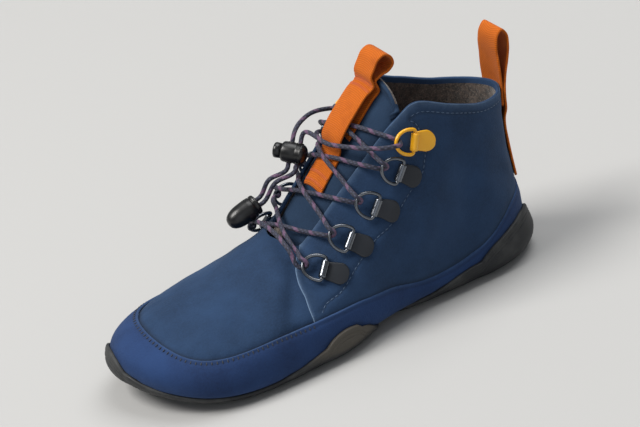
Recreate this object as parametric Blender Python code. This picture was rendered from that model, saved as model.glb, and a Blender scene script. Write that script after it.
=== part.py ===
"""A left ankle-high barefoot shoe, about EU 39, empty and standing on its sole.

Toe along +X, the outer (lateral) side along +Y, up +Z. The sizes are in
millimetres and the meshes are written in metres.
"""

import math

import bmesh
import bpy
import mathutils
import numpy as np

# Main sizes of the shoe.
LENGTH = 262.0
BALL_WIDTH = 100.0
COLLAR_HEIGHT = 120.0
TOE_SPRING = 13.5
ARCH_LIFT = 1.5

# Thicknesses.
SOLE = 4.0
SOLE_EDGE = 1.6
WALL = 1.8
RAND_STEP = 1.1
QUARTER_STEP = 0.6
INSOLE = 3.2
TONGUE = 3.0
WEBBING = 1.4

# Sizes of the fittings.
MARGIN = 17.0
FLEX_GROOVE = 1.5
RIM_CHANNEL = 1.3
LACE = 2.6
STRAP_WIDTH = 19.0
PATCH_WIDTH = 27.0
LOOP_HEIGHT = 34.0
RING_WIDTH = 14.0
RING_DEPTH = 12.0
RING_WIRE = 2.0
RING_LIFT = 12.0
PLATE_LENGTH = 13.0
PLATE_WIDTH = 12.0
PLATE = 0.9
PLATE_FIT = 0.45
LOCK_LENGTH = 14.0
LOCK_WIDTH = 11.6
BUTTON_LENGTH = 5.0
CORD_END_LENGTH = 20.0
CORD_END_WIDTH = 12.4

# The closest that two rows of the outsole's mesh come.
ROW_GAP = 0.35

# How wide the outsole's edge thins out, at the least, at the most, and past its line.
TAPER_LEAST = 4.0
TAPER_MOST = 12.0
TAPER_PAST = 3.0

# The ribs that the outsole's flex grooves cross at, on the outer side.
FLEX_RIBS = (7.25, 8.3, 9.2)

# The sides of a lace's section.
LACE_SIDES = 5

# Clearances between neighbours.
FIT = 0.3
TONGUE_FIT = 1.3
FLAP_EASE = 0.5
TUCK_EASE = 1.4
LACE_FIT = 0.9
LANE = 2.1

# The last, a row for each rib from the heel round the outer side to the toe
# and back. corner, foot y, rim y, lean and handle y are shares of BALL_WIDTH,
# the x columns of LENGTH, and the z columns and rise of COLLAR_HEIGHT.
LAST = (
    # name, corner, foot x, y, rim x, y, z, rise, lean, handle x, y, z
    ("heel_back", 0.070, 0.0095, 0.000, 0.0134, 0.000, 0.8125, 0.250, -0.005, 0.0172, 0.000, -0.267),
    ("heel_lat_b", 0.070, 0.0324, 0.180, 0.0363, 0.145, 0.8208, 0.250, -0.005, 0.0153, 0.010, -0.267),
    ("heel_lat", 0.070, 0.1031, 0.300, 0.1031, 0.260, 0.8500, 0.267, 0.015, 0.0076, 0.025, -0.283),
    ("ankle_lat", 0.080, 0.2061, 0.345, 0.1870, 0.300, 0.9250, 0.308, 0.020, 0.0000, 0.050, -0.317),
    ("waist_lat", 0.090, 0.3206, 0.375, 0.2634, 0.280, 0.9917, 0.300, 0.020, 0.0076, 0.080, -0.350),
    ("corner_lat", 0.085, 0.3969, 0.405, 0.3168, 0.260, 0.9333, 0.283, 0.020, 0.0153, 0.110, -0.333),
    ("mid_lat", 0.080, 0.4885, 0.455, 0.4351, 0.200, 0.7083, 0.250, 0.020, 0.0191, 0.140, -0.233),
    ("quarter_lat", 0.060, 0.6336, 0.510, 0.5611, 0.140, 0.4667, 0.183, 0.020, 0.0305, 0.190, -0.100),
    ("little_toe", 0.050, 0.7634, 0.530, 0.5802, 0.100, 0.4917, 0.167, 0.020, 0.0534, 0.200, -0.108),
    ("toe_lat", 0.050, 0.8893, 0.445, 0.5954, 0.050, 0.5042, 0.167, 0.030, 0.1069, 0.140, -0.150),
    ("toe_tip", 0.050, 0.9771, 0.150, 0.6011, -0.015, 0.5083, 0.175, 0.040, 0.1298, 0.030, -0.167),
    ("big_toe", 0.050, 0.9695, -0.190, 0.5973, -0.070, 0.5083, 0.183, 0.030, 0.1221, -0.080, -0.167),
    ("toe_med", 0.050, 0.8626, -0.400, 0.5840, -0.130, 0.5000, 0.186, 0.020, 0.0840, -0.150, -0.160),
    ("ball_med", 0.050, 0.7405, -0.455, 0.5725, -0.160, 0.4880, 0.200, 0.020, 0.0420, -0.180, -0.135),
    ("quarter_med", 0.060, 0.6183, -0.420, 0.5611, -0.180, 0.4833, 0.225, 0.020, 0.0229, -0.160, -0.117),
    ("mid_med", 0.090, 0.4809, -0.340, 0.4351, -0.230, 0.7083, 0.267, 0.020, 0.0153, -0.120, -0.233),
    ("corner_med", 0.095, 0.3969, -0.310, 0.3168, -0.270, 0.9167, 0.292, 0.020, 0.0115, -0.080, -0.333),
    ("waist_med", 0.095, 0.3206, -0.310, 0.2634, -0.285, 0.9667, 0.300, 0.020, 0.0076, -0.060, -0.350),
    ("ankle_med", 0.080, 0.2061, -0.315, 0.1870, -0.295, 0.9000, 0.317, 0.020, 0.0000, -0.040, -0.317),
    ("heel_med", 0.070, 0.1031, -0.290, 0.1031, -0.255, 0.8333, 0.283, 0.015, 0.0076, -0.025, -0.283),
    ("heel_med_b", 0.070, 0.0324, -0.180, 0.0363, -0.145, 0.8125, 0.250, -0.005, 0.0153, -0.010, -0.267),
)
RIBS = len(LAST)
SHARES = np.array([row[1:] for row in LAST])

# Height of the rand's top seam, as the surface's own coordinate, by rib.
RAND_TOP = (
    # rib, height
    (0.0, 0.330), (1.2, 0.310), (1.8, 0.270), (2.1, 0.205), (2.5, 0.120), (2.9, 0.070),
    (3.4, 0.040), (4.0, 0.040), (4.7, 0.070), (5.8, 0.135), (6.4, 0.220), (6.9, 0.295),
    (7.5, 0.320), (8.0, 0.320), (8.4, 0.300), (8.8, 0.272), (9.2, 0.262), (9.7, 0.310),
    (10.2, 0.345), (11.0, 0.360), (12.0, 0.330), (13.0, 0.300), (14.0, 0.280), (15.0, 0.190),
    (16.0, 0.100), (17.0, 0.060), (18.0, 0.060), (19.0, 0.150), (20.0, 0.300), (21.0, 0.330),
)

# Where the outsole's edge runs: below 0 it is on the corner under the foot,
# below -1 it is cut back under the arch, above 0 it climbs the side.
SOLE_LINE = (
    # rib, height
    (0.0, -0.05), (0.35, 0.02), (0.7, 0.14), (1.4, 0.16), (1.94, 0.125), (2.5, 0.06),
    (3.1, -0.05), (3.55, -0.28), (4.0, -0.50), (4.6, -0.75), (5.1, -1.05), (5.55, -1.05),
    (5.75, -0.72), (5.95, -0.28), (6.15, 0.02), (6.5, 0.075), (6.8, 0.03), (7.2, -0.25),
    (7.7, -0.50), (8.2, -0.60), (9.0, -0.62), (9.5, -0.56), (9.8, -0.38), (10.0, -0.12),
    (10.25, 0.05), (10.6, 0.10), (11.1, 0.06), (11.6, -0.12), (12.2, -0.42), (13.0, -0.56),
    (14.0, -0.60), (14.6, -0.85), (15.0, -1.30), (15.5, -1.62), (16.0, -1.72), (16.6, -1.66),
    (17.1, -1.45), (17.6, -1.05), (18.0, -0.50), (18.6, -0.05), (19.1, 0.10), (19.6, 0.16),
    (20.3, 0.14), (20.65, 0.02), (21.0, -0.05),
)

# How much of MARGIN the leather reaches in under the foot, by rib.
MARGIN_REACH = (
    # rib, share
    (0.0, 0.50), (1.5, 0.55), (3.0, 0.80), (4.5, 1.00), (7.0, 0.95), (9.0, 0.80), (10.5, 0.75),
    (12.0, 0.80), (14.0, 0.95), (15.5, 1.00), (17.0, 1.00), (18.2, 0.80), (19.5, 0.55), (21.0, 0.50),
)

# How far the quarter's front edge swings forward of its rib, by height.
QUARTER_EDGE = (
    # height, swing in ribs
    (0.30, 0.00), (0.55, 0.13), (0.70, 0.33), (0.80, 0.43), (0.90, 0.34), (0.96, 0.18), (1.00, 0.00),
)
QUARTER_RIB = 6.93

# The ring of each lace station on the outer side: its bar, then the tail of
# its plate, each as rib and height on the surface. The inner side mirrors it.
LACE_STATIONS = (
    # bar rib, height, tail rib, height
    (6.58, 0.640, 6.32, 0.470),
    (6.14, 0.660, 5.80, 0.485),
    (5.60, 0.705, 5.14, 0.545),
    (5.04, 0.765, 4.38, 0.665),
    (4.37, 0.850, 3.66, 0.808),
)

# The outline of a ring's plate: distance behind the bar and width, as shares.
PLATE_OUTLINE = (
    # length, width
    (1.00, 0.45), (0.88, 0.86), (0.60, 1.00), (0.20, 0.86), (0.00, 0.82),
)

# The cord lock and the cord end: the place on the tongue that each hangs over,
# as shares across and up it, the height over it, and the way each points.
LOCK_PLACE = (0.665, 0.665)
LOCK_STAND = 12.6
LOCK_WAY = (0.66, -0.73, 0.19)
CORD_END_PLACE = (0.755, 0.495)
CORD_END_STAND = 16.3
CORD_END_WAY = (0.96, 0.0, -0.28)

# How far apart the two strands run at the lock and at the cord end.
LOCK_LANE = 2.4
CORD_END_LANE = 2.0

MATERIALS = {
    # name: colour, roughness, metallic
    "outsole_rubber": ((0.035, 0.036, 0.038), 0.62, 0.0),
    "nubuck_leather": ((0.030, 0.062, 0.125), 0.85, 0.0),
    "tongue_nubuck": ((0.028, 0.056, 0.110), 0.85, 0.0),
    "insole_felt": ((0.085, 0.060, 0.045), 0.95, 0.0),
    "orange_webbing": ((0.760, 0.210, 0.030), 0.80, 0.0),
    "gunmetal_wire": ((0.180, 0.185, 0.195), 0.25, 1.0),
    "gunmetal_plate": ((0.060, 0.062, 0.065), 0.45, 1.0),
    "yellow_lacquer": ((0.860, 0.430, 0.030), 0.35, 0.0),
    "elastic_cord": ((0.060, 0.055, 0.085), 0.80, 0.0),
    "black_plastic": ((0.012, 0.012, 0.013), 0.38, 0.0),
}


def spline(points, at):
    """The smooth closed curve through evenly numbered points."""
    points = np.asarray(points, float)
    count = len(points)
    system = 4 * np.eye(count) + np.roll(np.eye(count), 1, 0) + np.roll(np.eye(count), -1, 0)
    slope = np.linalg.solve(system, 3 * (np.roll(points, -1, 0) - np.roll(points, 1, 0)))
    return hermite(points, slope, at)


def unswung(points, at):
    """The closed curve through the points that never swings past one of them."""
    points = np.asarray(points, float)
    ahead = np.roll(points, -1, 0) - points
    behind = np.roll(ahead, 1, 0)
    product = ahead * behind
    total = np.where(product > 0, ahead + behind, 1.0)
    slope = np.where(product > 0, 2 * product / total, 0.0)
    return hermite(points, slope, at)


def hermite(points, slope, at):
    count = len(points)
    first = np.floor(at).astype(int)
    part = (at - first)[:, None]
    a, b = points[first % count], points[(first + 1) % count]
    p, q = slope[first % count], slope[(first + 1) % count]
    square, cube = part**2, part**3
    near = (2 * cube - 3 * square + 1) * a + (cube - 2 * square + part) * p
    return near + (3 * square - 2 * cube) * b + (cube - square) * q


def looked_up(table, at):
    table = np.array(table)
    return np.interp(np.mod(at, RIBS), table[:, 0], table[:, 1])


def margin_at(u):
    return MARGIN * looked_up(MARGIN_REACH, u)


def base_height(x):
    """Height of the upper's underside over the floor."""
    share = x / LENGTH
    spring = np.clip((share - 0.73) / 0.27, 0, None) ** 2
    arch = np.clip(1 - ((share - 0.43) / 0.14) ** 2, 0, None) ** 2
    return SOLE + FIT + RAND_STEP + TOE_SPRING * spring + ARCH_LIFT * arch


def ribs_at(u):
    """The four control points, the outward way in plan and the corner radius of each rib."""
    s = SHARES
    corner = spline(s[:, [0]] * BALL_WIDTH, u)[:, 0]
    plan = s[:, [1, 2]] * (LENGTH, BALL_WIDTH)
    foot = spline(plan, u)
    step = spline(plan, u + 1e-3) - spline(plan, u - 1e-3)
    out = np.c_[-step[:, 1], step[:, 0], 0 * u]
    out /= np.linalg.norm(out, axis=1)[:, None]
    foot = np.c_[foot, base_height(foot[:, 0]) + corner]
    rim = unswung(s[:, [3, 4, 5]] * (LENGTH, BALL_WIDTH, COLLAR_HEIGHT), u)
    lift = spline(s[:, [6, 7]] * (COLLAR_HEIGHT, BALL_WIDTH), u)
    handle = spline(s[:, [8, 9, 10]] * (LENGTH, BALL_WIDTH, COLLAR_HEIGHT), u)
    low = foot + out * lift[:, 1:2] + np.c_[0 * u, 0 * u, lift[:, 0]]
    return foot, low, rim + handle, rim, out, corner


def on_last(u, s):
    """Points of the last: s is 0 to 1 up the side, -1 to 0 round the corner, less under the foot."""
    u, s = np.broadcast_arrays(np.asarray(u, float), np.asarray(s, float))
    shape = u.shape
    u, s = u.ravel(), s.ravel()
    foot, low, high, rim, out, corner = ribs_at(u)
    t = np.clip(s, 0, None)[:, None]
    side = (1 - t) ** 3 * foot + 3 * (1 - t) ** 2 * t * low + 3 * (1 - t) * t**2 * high + t**3 * rim
    turn = np.clip(s + 1, 0, 1) * math.pi / 2
    inward = corner * (1 - np.sin(turn)) + margin_at(u) * np.clip(-1 - s, 0, None)
    under = foot - out * inward[:, None]
    under[:, 2] = base_height(under[:, 0]) + corner * (1 - np.cos(turn))
    return np.where((s > 0)[:, None], side, under).reshape(shape + (3,))


def away(u, s):
    """The unit normal of the last, outwards."""
    small = 2e-3
    along = on_last(u + small, s) - on_last(u - small, s)
    up = on_last(u, s + small) - on_last(u, s - small)
    normal = np.cross(up, along)
    return normal / np.linalg.norm(normal, axis=-1)[..., None]


def skin(u, s, offset):
    """The last, moved out along its normal."""
    u, s, offset = np.broadcast_arrays(*(np.asarray(value, float) for value in (u, s, offset)))
    return on_last(u, s) + away(u, s) * offset[..., None]


def columns():
    """The ribs that the meshes stand on, with a pair at the front edge of each quarter."""
    half = np.r_[np.linspace(0, 5.4, 19), np.linspace(5.4, 6.3, 5)[1:]]
    half = np.r_[half, np.linspace(6.3, QUARTER_RIB, 3)[1:], np.linspace(QUARTER_RIB + 0.012, RIBS / 2, 14)]
    return np.r_[half, RIBS - half[-2:0:-1]]


def swung(u, s):
    """The columns moved so that the pairs follow the quarter's curved front edge."""
    edge = np.array(QUARTER_EDGE)
    swing = np.interp(s, edge[:, 0], edge[:, 1])
    outer = np.clip(1 - np.abs(u - QUARTER_RIB) / 1.7, 0, None)
    inner = np.clip(1 - np.abs(u - (RIBS - QUARTER_RIB)) / 1.7, 0, None)
    return u + swing * (outer - inner)


def on_quarter(u):
    """1 behind the front edge of the quarters and 0 on the vamp."""
    return ((u <= QUARTER_RIB + 1e-6) | (u >= RIBS - QUARTER_RIB - 1e-6)).astype(float)


def material(name):
    made = bpy.data.materials.get(name)
    if made:
        return made
    colour, roughness, metallic = MATERIALS[name]
    made = bpy.data.materials.new(name)
    made.use_nodes = True
    shader = made.node_tree.nodes["Principled BSDF"]
    shader.inputs["Base Color"].default_value = (*colour, 1.0)
    shader.inputs["Roughness"].default_value = roughness
    shader.inputs["Metallic"].default_value = metallic
    return made


def add(name, points, faces, finish):
    """One closed mesh, its faces turned outwards."""
    mesh = bpy.data.meshes.new(name)
    mesh.from_pydata((np.asarray(points) / 1000).tolist(), [], faces)
    work = bmesh.new()
    work.from_mesh(mesh)
    bmesh.ops.recalc_face_normals(work, faces=work.faces)
    work.to_mesh(mesh)
    work.free()
    mesh.materials.append(material(finish))
    made = bpy.data.objects.new(name, mesh)
    bpy.context.scene.collection.objects.link(made)
    return made


def add_strand(name, path, finish):
    """A free strand of the lace, as a curve with a round section and closed ends."""
    curve = bpy.data.curves.new(name, "CURVE")
    curve.dimensions = "3D"
    curve.bevel_depth = LACE / 2000
    curve.bevel_resolution = 2
    curve.use_fill_caps = True
    line = curve.splines.new("POLY")
    line.points.add(len(path) - 1)
    line.points.foreach_set("co", (np.c_[path, np.full(len(path), 1000.0)] / 1000).ravel())
    curve.materials.append(material(finish))
    made = bpy.data.objects.new(name, curve)
    bpy.context.scene.collection.objects.link(made)
    return made


def band(count, rows, first=0):
    """Quads between closed rows of count points."""
    faces = []
    for row in range(rows - 1):
        for k in range(count):
            a = first + row * count + k
            b = first + row * count + (k + 1) % count
            faces.append((a, b, b + count, a + count))
    return faces


def rungs(count, first):
    """A lid over one closed row, each face across from the outer half to the inner."""
    faces = []
    for k in range(count // 2):
        corners = [first + k, first + k + 1, first + count - k - 1, first + (count - k) % count]
        faces.append(tuple(dict.fromkeys(corners)))
    return faces


def lidded(rows):
    count = len(rows[0])
    faces = band(count, len(rows)) + rungs(count, 0) + rungs(count, (len(rows) - 1) * count)
    return np.concatenate(rows), faces


def grid_normals(grid):
    along = np.gradient(grid, axis=0)
    across = np.gradient(grid, axis=1)
    normal = np.cross(along, across)
    return normal / np.linalg.norm(normal, axis=-1)[..., None]


def slab(grid, above, below):
    """A sheet of points given thickness on each side of itself."""
    normal = grid_normals(grid)
    rows, cols = grid.shape[:2]
    points = np.concatenate([(grid + normal * above).reshape(-1, 3), (grid - normal * below).reshape(-1, 3)])
    half = rows * cols
    faces = []
    for i in range(rows - 1):
        for j in range(cols - 1):
            a = i * cols + j
            faces.append((a, a + 1, a + cols + 1, a + cols))
            faces.append((half + a, half + a + cols, half + a + cols + 1, half + a + 1))
    ring = [i * cols for i in range(rows)]
    ring += [(rows - 1) * cols + j for j in range(1, cols)]
    ring += [i * cols + cols - 1 for i in range(rows - 2, -1, -1)]
    ring += [j for j in range(cols - 2, 0, -1)]
    for k, a in enumerate(ring):
        b = ring[(k + 1) % len(ring)]
        faces.append((a, b, half + b, half + a))
    return points, faces


def tube(path, radius, sides=8, closed=False):
    """A round bar along a path, its section carried along untwisted. Each point may have its own radius."""
    path = np.asarray(path, float)
    radius = np.broadcast_to(radius, len(path))
    if closed:
        way = np.roll(path, -1, 0) - np.roll(path, 1, 0)
    else:
        way = np.gradient(path, axis=0)
    way /= np.linalg.norm(way, axis=1)[:, None]
    side = np.cross(way[0], (0.0, 0.0, 1.0))
    if np.linalg.norm(side) < 0.2:
        side = np.cross(way[0], (1.0, 0.0, 0.0))
    turns = np.arange(sides) * 2 * math.pi / sides
    rows = []
    for point, ahead, reach in zip(path, way, radius):
        side = side - ahead * (side @ ahead)
        side /= np.linalg.norm(side)
        section = np.outer(np.cos(turns), side) + np.outer(np.sin(turns), np.cross(ahead, side))
        rows.append(point + reach * section)
    points = np.concatenate(rows)
    faces = band(sides, len(path))
    last = (len(path) - 1) * sides
    if closed:
        faces += [(last + k, last + (k + 1) % sides, (k + 1) % sides, k) for k in range(sides)]
    else:
        faces += [tuple(range(sides)), tuple(range(last, last + sides))]
    return points, faces


def upper_rows(u):
    """Rows of points up the outside, over the rim and down the inside."""
    rand = looked_up(RAND_TOP, u)
    step = QUARTER_STEP * on_quarter(u)
    rows = [skin(u, np.full_like(u, s), RAND_STEP) for s in (-2.0, -1.0, -0.75, -0.5, -0.25, 0.0)]
    rows += [skin(u, rand * share, RAND_STEP) for share in (0.5, 1.0)]
    heights = [rand + 0.005 + (0.995 - rand) * share for share in (0.0, 0.17, 0.36, 0.56, 0.76, 0.9, 1.0)]
    rows += [skin(swung(u, s), s, step) for s in heights]
    rows += [skin(swung(u, np.full_like(u, s)), s, -WALL) for s in (1.0, 0.91, 0.79, 0.62, 0.42, 0.2)]
    rows += [skin(u, np.full_like(u, s), -WALL) for s in (0.0, -0.25, -0.5, -0.75, -1.0, -2.0)]
    return rows


def make_upper(u):
    rows = upper_rows(u)
    count = len(u)
    faces = band(count, len(rows))
    last = (len(rows) - 1) * count
    faces += [(last + k, last + (k + 1) % count, (k + 1) % count, k) for k in range(count)]
    return add("upper", np.concatenate(rows), faces, "nubuck_leather")


def arc_of(u, s):
    """How far round the profile a place is, from where the corner starts."""
    corner = ribs_at(u)[5] * math.pi / 2
    rise = 3 * spline(SHARES[:, [6]] * COLLAR_HEIGHT, u)[:, 0]
    under = np.where(s < -1, margin_at(u) * (s + 1), corner * (s + 1))
    return np.where(s > 0, corner + rise * s, under)


def height_of(u, arc):
    corner = ribs_at(u)[5] * math.pi / 2
    rise = 3 * spline(SHARES[:, [6]] * COLLAR_HEIGHT, u)[:, 0]
    under = np.where(arc < 0, -1 + arc / margin_at(u), -1 + arc / corner)
    return np.where(arc > corner, (arc - corner) / rise, under)


def make_outsole(u):
    edge = arc_of(u, looked_up(SOLE_LINE, u))
    margin = margin_at(u)
    corner = ribs_at(u)[5] * math.pi / 2
    levels = [margin * share for share in (-1.12, -0.86, -0.82, -0.66, -0.62)]
    levels += [corner * share for share in (0.0, 0.25, 0.5, 0.75, 1.0)]
    levels += [(corner + edge) / 2, edge]
    # A row that would pass the edge stops short of it, and the rest follow.
    arcs = [np.minimum(level, edge - ROW_GAP * (len(levels) - 1 - k)) for k, level in enumerate(levels)]
    whole = edge > 0
    taper = np.clip(edge + TAPER_PAST, TAPER_LEAST, TAPER_MOST)

    def depth(arc):
        return SOLE_EDGE + (SOLE - SOLE_EDGE) * np.clip((edge - arc) / taper, 0, 1) ** 0.8

    # The edge turns fast behind the side flap and behind the arch, so the inside stands off more there.
    turns = np.clip(1 - np.abs(u - 5.9) / 0.6, 0, 1) + np.clip(1 - np.abs(u - 17.7) / 0.8, 0, 1)
    top = RAND_STEP + FIT
    channel = RIM_CHANNEL * whole
    flex = np.zeros_like(u)
    for rib in FLEX_RIBS:
        for at in (rib, RIBS - rib):
            flex[np.argmin(np.abs(u - at))] = FLEX_GROOVE
    rows = []
    for k, arc in enumerate(arcs):
        cut = channel * (k in (2, 3)) + flex * (k < 5)
        rows.append(skin(u, height_of(u, arc), top + depth(arc) - np.minimum(cut, FLEX_GROOVE + 0.2)))
    rows += [skin(u, height_of(u, arc), top + FLAP_EASE * turns) for arc in [*arcs[:4:-1], arcs[0]]]
    return add("outsole", *lidded(rows), "outsole_rubber")


def make_insole(u):
    u = u[::2]
    inside = -2.04
    low = -WALL - FIT
    rows = [skin(u, np.full_like(u, inside), RAND_STEP - FIT), skin(u, np.full_like(u, inside), low)]
    rows += [skin(u, np.full_like(u, s), low) for s in (-1.0, -0.75, -0.5, -0.25)]
    for s in (-1.15, inside):
        row = on_last(u, np.full_like(u, s))
        row[:, 2] += WALL + FIT + INSOLE
        rows.append(row)
    return add("insole", *lidded(rows), "insole_felt")


# How far the lowest bar of lace rises to clear the vamp, then heights over the
# tongue of each crossing and of the leg to the lock.
BAR_LIFT = 11.5
CROSS_HEIGHTS = (5.0, 4.4, 4.6, 3.8)
LEG_HEIGHT = 10.0

# The way that the lace bows off the tongue, and how far its free strands do.
BOW = (0.68, 0.0, 0.73)
STRAND_BOW = 2.5

# How the strap's upper layer rises off the tongue to let the lace through.
STRAP_RISE = (
    # place up the throat, height
    (0.73, 2.6), (0.755, 5.9), (0.79, 7.0), (0.86, 7.0), (0.93, 6.7), (1.00, 6.2),
)

# The tongue strap's loop over the tongue's top edge, forward and up, as shares of the loop's height.
TONGUE_BEND = (
    (0.129, 0.265), (0.041, 0.412), (-0.059, 0.535), (-0.182, 0.571), (-0.282, 0.500), (-0.306, 0.382),
    (-0.212, 0.288), (-0.065, 0.253),
)

# The heel strap's patch: height on the last and width as a share of the patch's.
HEEL_PATCH = ((0.35, 0.815), (0.37, 1.000), (0.44, 1.000), (0.54, 0.926), (0.64, 0.815), (0.74, 0.704))

# The heel strap's loop over the collar, forward and up, as shares of the loop's
# height, and how far each row still follows the heel's curve.
HEEL_BEND = (
    (-0.129, 0.24, 0.70), (-0.188, 0.48, 0.40), (-0.224, 0.72, 0.15), (-0.206, 0.90, 0.00),
    (-0.124, 1.00, 0.00), (-0.035, 0.92, 0.00), (0.006, 0.74, 0.15), (-0.009, 0.50, 0.40),
    (-0.029, 0.25, 0.70),
)

# Places across a strap, as shares of its width.
ACROSS = np.linspace(-0.5, 0.5, 5)

# Ribs that the tongue starts and ends at on the throat's outer edge.
TONGUE_LOW = 8.6
TONGUE_HIGH = 4.9
TONGUE_TOP = 3.0


def on_tongue(v, w):
    """The tongue's outer face: v runs 0 to 1 across from the outer side, w 0 to 1 up the throat."""
    v, w = np.broadcast_arrays(np.asarray(v, float), np.asarray(w, float))
    shape = v.shape
    v, w = v.ravel(), w.ravel()
    beyond = np.clip(w - 1, 0, None)
    rib = TONGUE_LOW + (TONGUE_HIGH - TONGUE_LOW) * np.clip(w, 0, 1)
    sink = -(WALL + TONGUE_FIT)
    tuck = 0.015 + 0.125 * np.clip(w * 2.5, 0, 1)
    one = 1 + 0.03 * beyond
    a, b = skin(rib, one, sink), skin(RIBS - rib, one, sink)
    a_way = a - skin(rib, one * 0.94, sink)
    b_way = b - skin(RIBS - rib, one * 0.94, sink)
    reach = 0.36 * np.linalg.norm(b - a, axis=1)[:, None]
    a_way *= reach / np.linalg.norm(a_way, axis=1)[:, None]
    b_way *= reach / np.linalg.norm(b_way, axis=1)[:, None]
    t = np.clip((v - 0.22) / 0.56, 0, 1)[:, None]
    bridge = (1 - t) ** 3 * a + 3 * (1 - t) ** 2 * t * (a + a_way)
    bridge += 3 * (1 - t) * t**2 * (b + b_way) + t**3 * b
    left, right = np.clip((0.22 - v) / 0.22, 0, 1), np.clip((v - 0.78) / 0.22, 0, 1)
    outer = skin(rib, 1 + 0.03 * beyond - tuck * left, sink - TUCK_EASE * left)
    inner = skin(RIBS - rib, 1 + 0.03 * beyond - tuck * right, sink - TUCK_EASE * right)
    point = np.where((v < 0.22)[:, None], outer, np.where((v > 0.78)[:, None], inner, bridge))
    front = np.clip(-w, 0, None)
    if front.any():
        under = TONGUE_LOW + (RIBS - 2 * TONGUE_LOW) * np.clip((v - 0.1) / 0.8, -0.05, 1.05)
        tucked = skin(under, 1 - 0.13 * front, sink - 0.4 * front)
        point = np.where((w < 0)[:, None], tucked, point)
    # Above the throat the tongue runs on straight, up and a little forward.
    rise = np.array([-0.10, 0.0, 1.0]) * TONGUE_TOP
    crown = 1 - (2 * t[:, 0] - 1) ** 2
    point = point + rise * (beyond * crown)[:, None]
    return point.reshape(shape + (3,))


def tongue_frame(v, w):
    """A place on the tongue and the way out of it."""
    small = 4e-3
    v, w = np.asarray(v, float), np.asarray(w, float)
    across = on_tongue(v + small, w) - on_tongue(v - small, w)
    up = on_tongue(v, w + small) - on_tongue(v, w - small)
    normal = np.cross(up, across)
    normal /= np.linalg.norm(normal, axis=-1)[..., None]
    normal = np.where(normal[..., :1] < 0, -normal, normal)
    return on_tongue(v, w), normal


def make_tongue():
    v = np.r_[0, 0.12, np.linspace(0.22, 0.78, 10), 0.88, 1]
    w = np.r_[-1.0, -0.5, np.linspace(0, 1, 12), 1.5, 2.0]
    grid = on_tongue(v[None, :], w[:, None])
    _, out = tongue_frame(v[None, :], np.clip(w, 0.02, 1.0)[:, None])
    normal = grid_normals(grid)
    above = (normal * out).sum(-1)[len(w) // 2, len(v) // 2] > 0
    thick = (0.0, TONGUE) if above else (TONGUE, 0.0)
    return add("tongue", *slab(grid, *thick), "tongue_nubuck")


def smooth_path(points, steps):
    """A curve through the points, steps to each stretch, its slopes taken from their neighbours."""
    points = np.asarray(points, float)
    slope = np.gradient(points, axis=0)
    at = np.linspace(0, len(points) - 1, steps * (len(points) - 1) + 1)
    at[-1] -= 1e-9
    path = hermite(points, slope, at)
    path[-1] = points[-1]
    return path


def evenly(path, gap):
    """The points of a path taken about a gap apart, its two ends among them."""
    along = np.r_[0, np.cumsum(np.linalg.norm(np.diff(path, axis=0), axis=1))]
    at = np.linspace(0, along[-1], max(round(along[-1] / gap), 3) + 1)
    return np.array([np.interp(at, along, path[:, k]) for k in range(3)]).T


def seat(station, side):
    """A ring's bar on the quarter, then the ways along the bar to the next ring, to the throat and out."""
    bar_rib, bar_height, tail_rib, tail_height = LACE_STATIONS[station]
    ribs = np.array([bar_rib, tail_rib]) if side > 0 else RIBS - np.array([bar_rib, tail_rib])
    bar, tail = skin(ribs, np.array([bar_height, tail_height]), QUARTER_STEP)
    out = away(ribs[:1], np.array([bar_height]))[0]
    inward = bar - tail
    inward -= out * (inward @ out)
    inward /= np.linalg.norm(inward)
    return bar, np.cross(inward, out) * side, inward, out


def barrel_height():
    return PLATE_FIT + PLATE + FIT + RING_WIRE / 2


def make_plate(name, station, side, finish):
    """The plate follows the quarter from its rounded tail and curls over the ring's bar."""
    bar_rib, bar_height, tail_rib, tail_height = LACE_STATIONS[station]
    bar, along, inward, out = seat(station, side)
    ends = skin(np.array([bar_rib, tail_rib]), np.array([bar_height, tail_height]), 0)
    span = np.linalg.norm(ends[1] - ends[0])
    rows, ways, widths = [], [], []
    for length, width in PLATE_OUTLINE:
        share = length * PLATE_LENGTH / span
        rib = bar_rib + (tail_rib - bar_rib) * share
        rib = rib if side > 0 else RIBS - rib
        height = bar_height + (tail_height - bar_height) * share
        rows.append(skin(np.array([rib]), np.array([height]), QUARTER_STEP + PLATE_FIT + PLATE / 2)[0])
        level = away(np.array([rib]), np.array([height]))[0]
        ways.append(unit(along - level * (along @ level)))
        widths.append(width * PLATE_WIDTH)
    turn = RING_WIRE / 2 + FIT + PLATE / 2
    for angle in np.radians([-40, 15, 70, 130]):
        rows.append(bar + out * (barrel_height() + turn * math.sin(angle)) + inward * turn * math.cos(angle))
        ways.append(along)
        widths.append(widths[4])
    middle, across, width = np.array(rows), np.array(ways), np.array(widths)[:, None, None]
    grid = middle[:, None, :] + across[:, None, :] * np.array([-0.5, 0.5])[None, :, None] * width
    return add(name, *slab(grid, PLATE / 2, PLATE / 2), finish)


def make_ring(name, station, side, finish):
    """A D: straight where its plate holds it, round where the lace runs."""
    bar, along, inward, out = seat(station, side)
    half = RING_WIDTH / 2
    bow = np.radians([15, 52, 90, 128, 165])
    flat = [(half - 2.0, 0.0), (half - 0.6, 0.6), (half, 2.0)]
    flat += [(half * math.cos(a), 3.0 + (RING_DEPTH - 3.0) * math.sin(a)) for a in bow]
    flat += [(-half, 2.0), (0.6 - half, 0.6), (2.0 - half, 0.0)]
    lift = math.radians(RING_LIFT)
    forward = inward * math.cos(lift) + out * math.sin(lift)
    centre = bar + out * barrel_height()
    path = [centre + along * x + forward * y for x, y in flat]
    return add(name, *tube(path, RING_WIRE / 2, 6, closed=True), finish)


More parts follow.
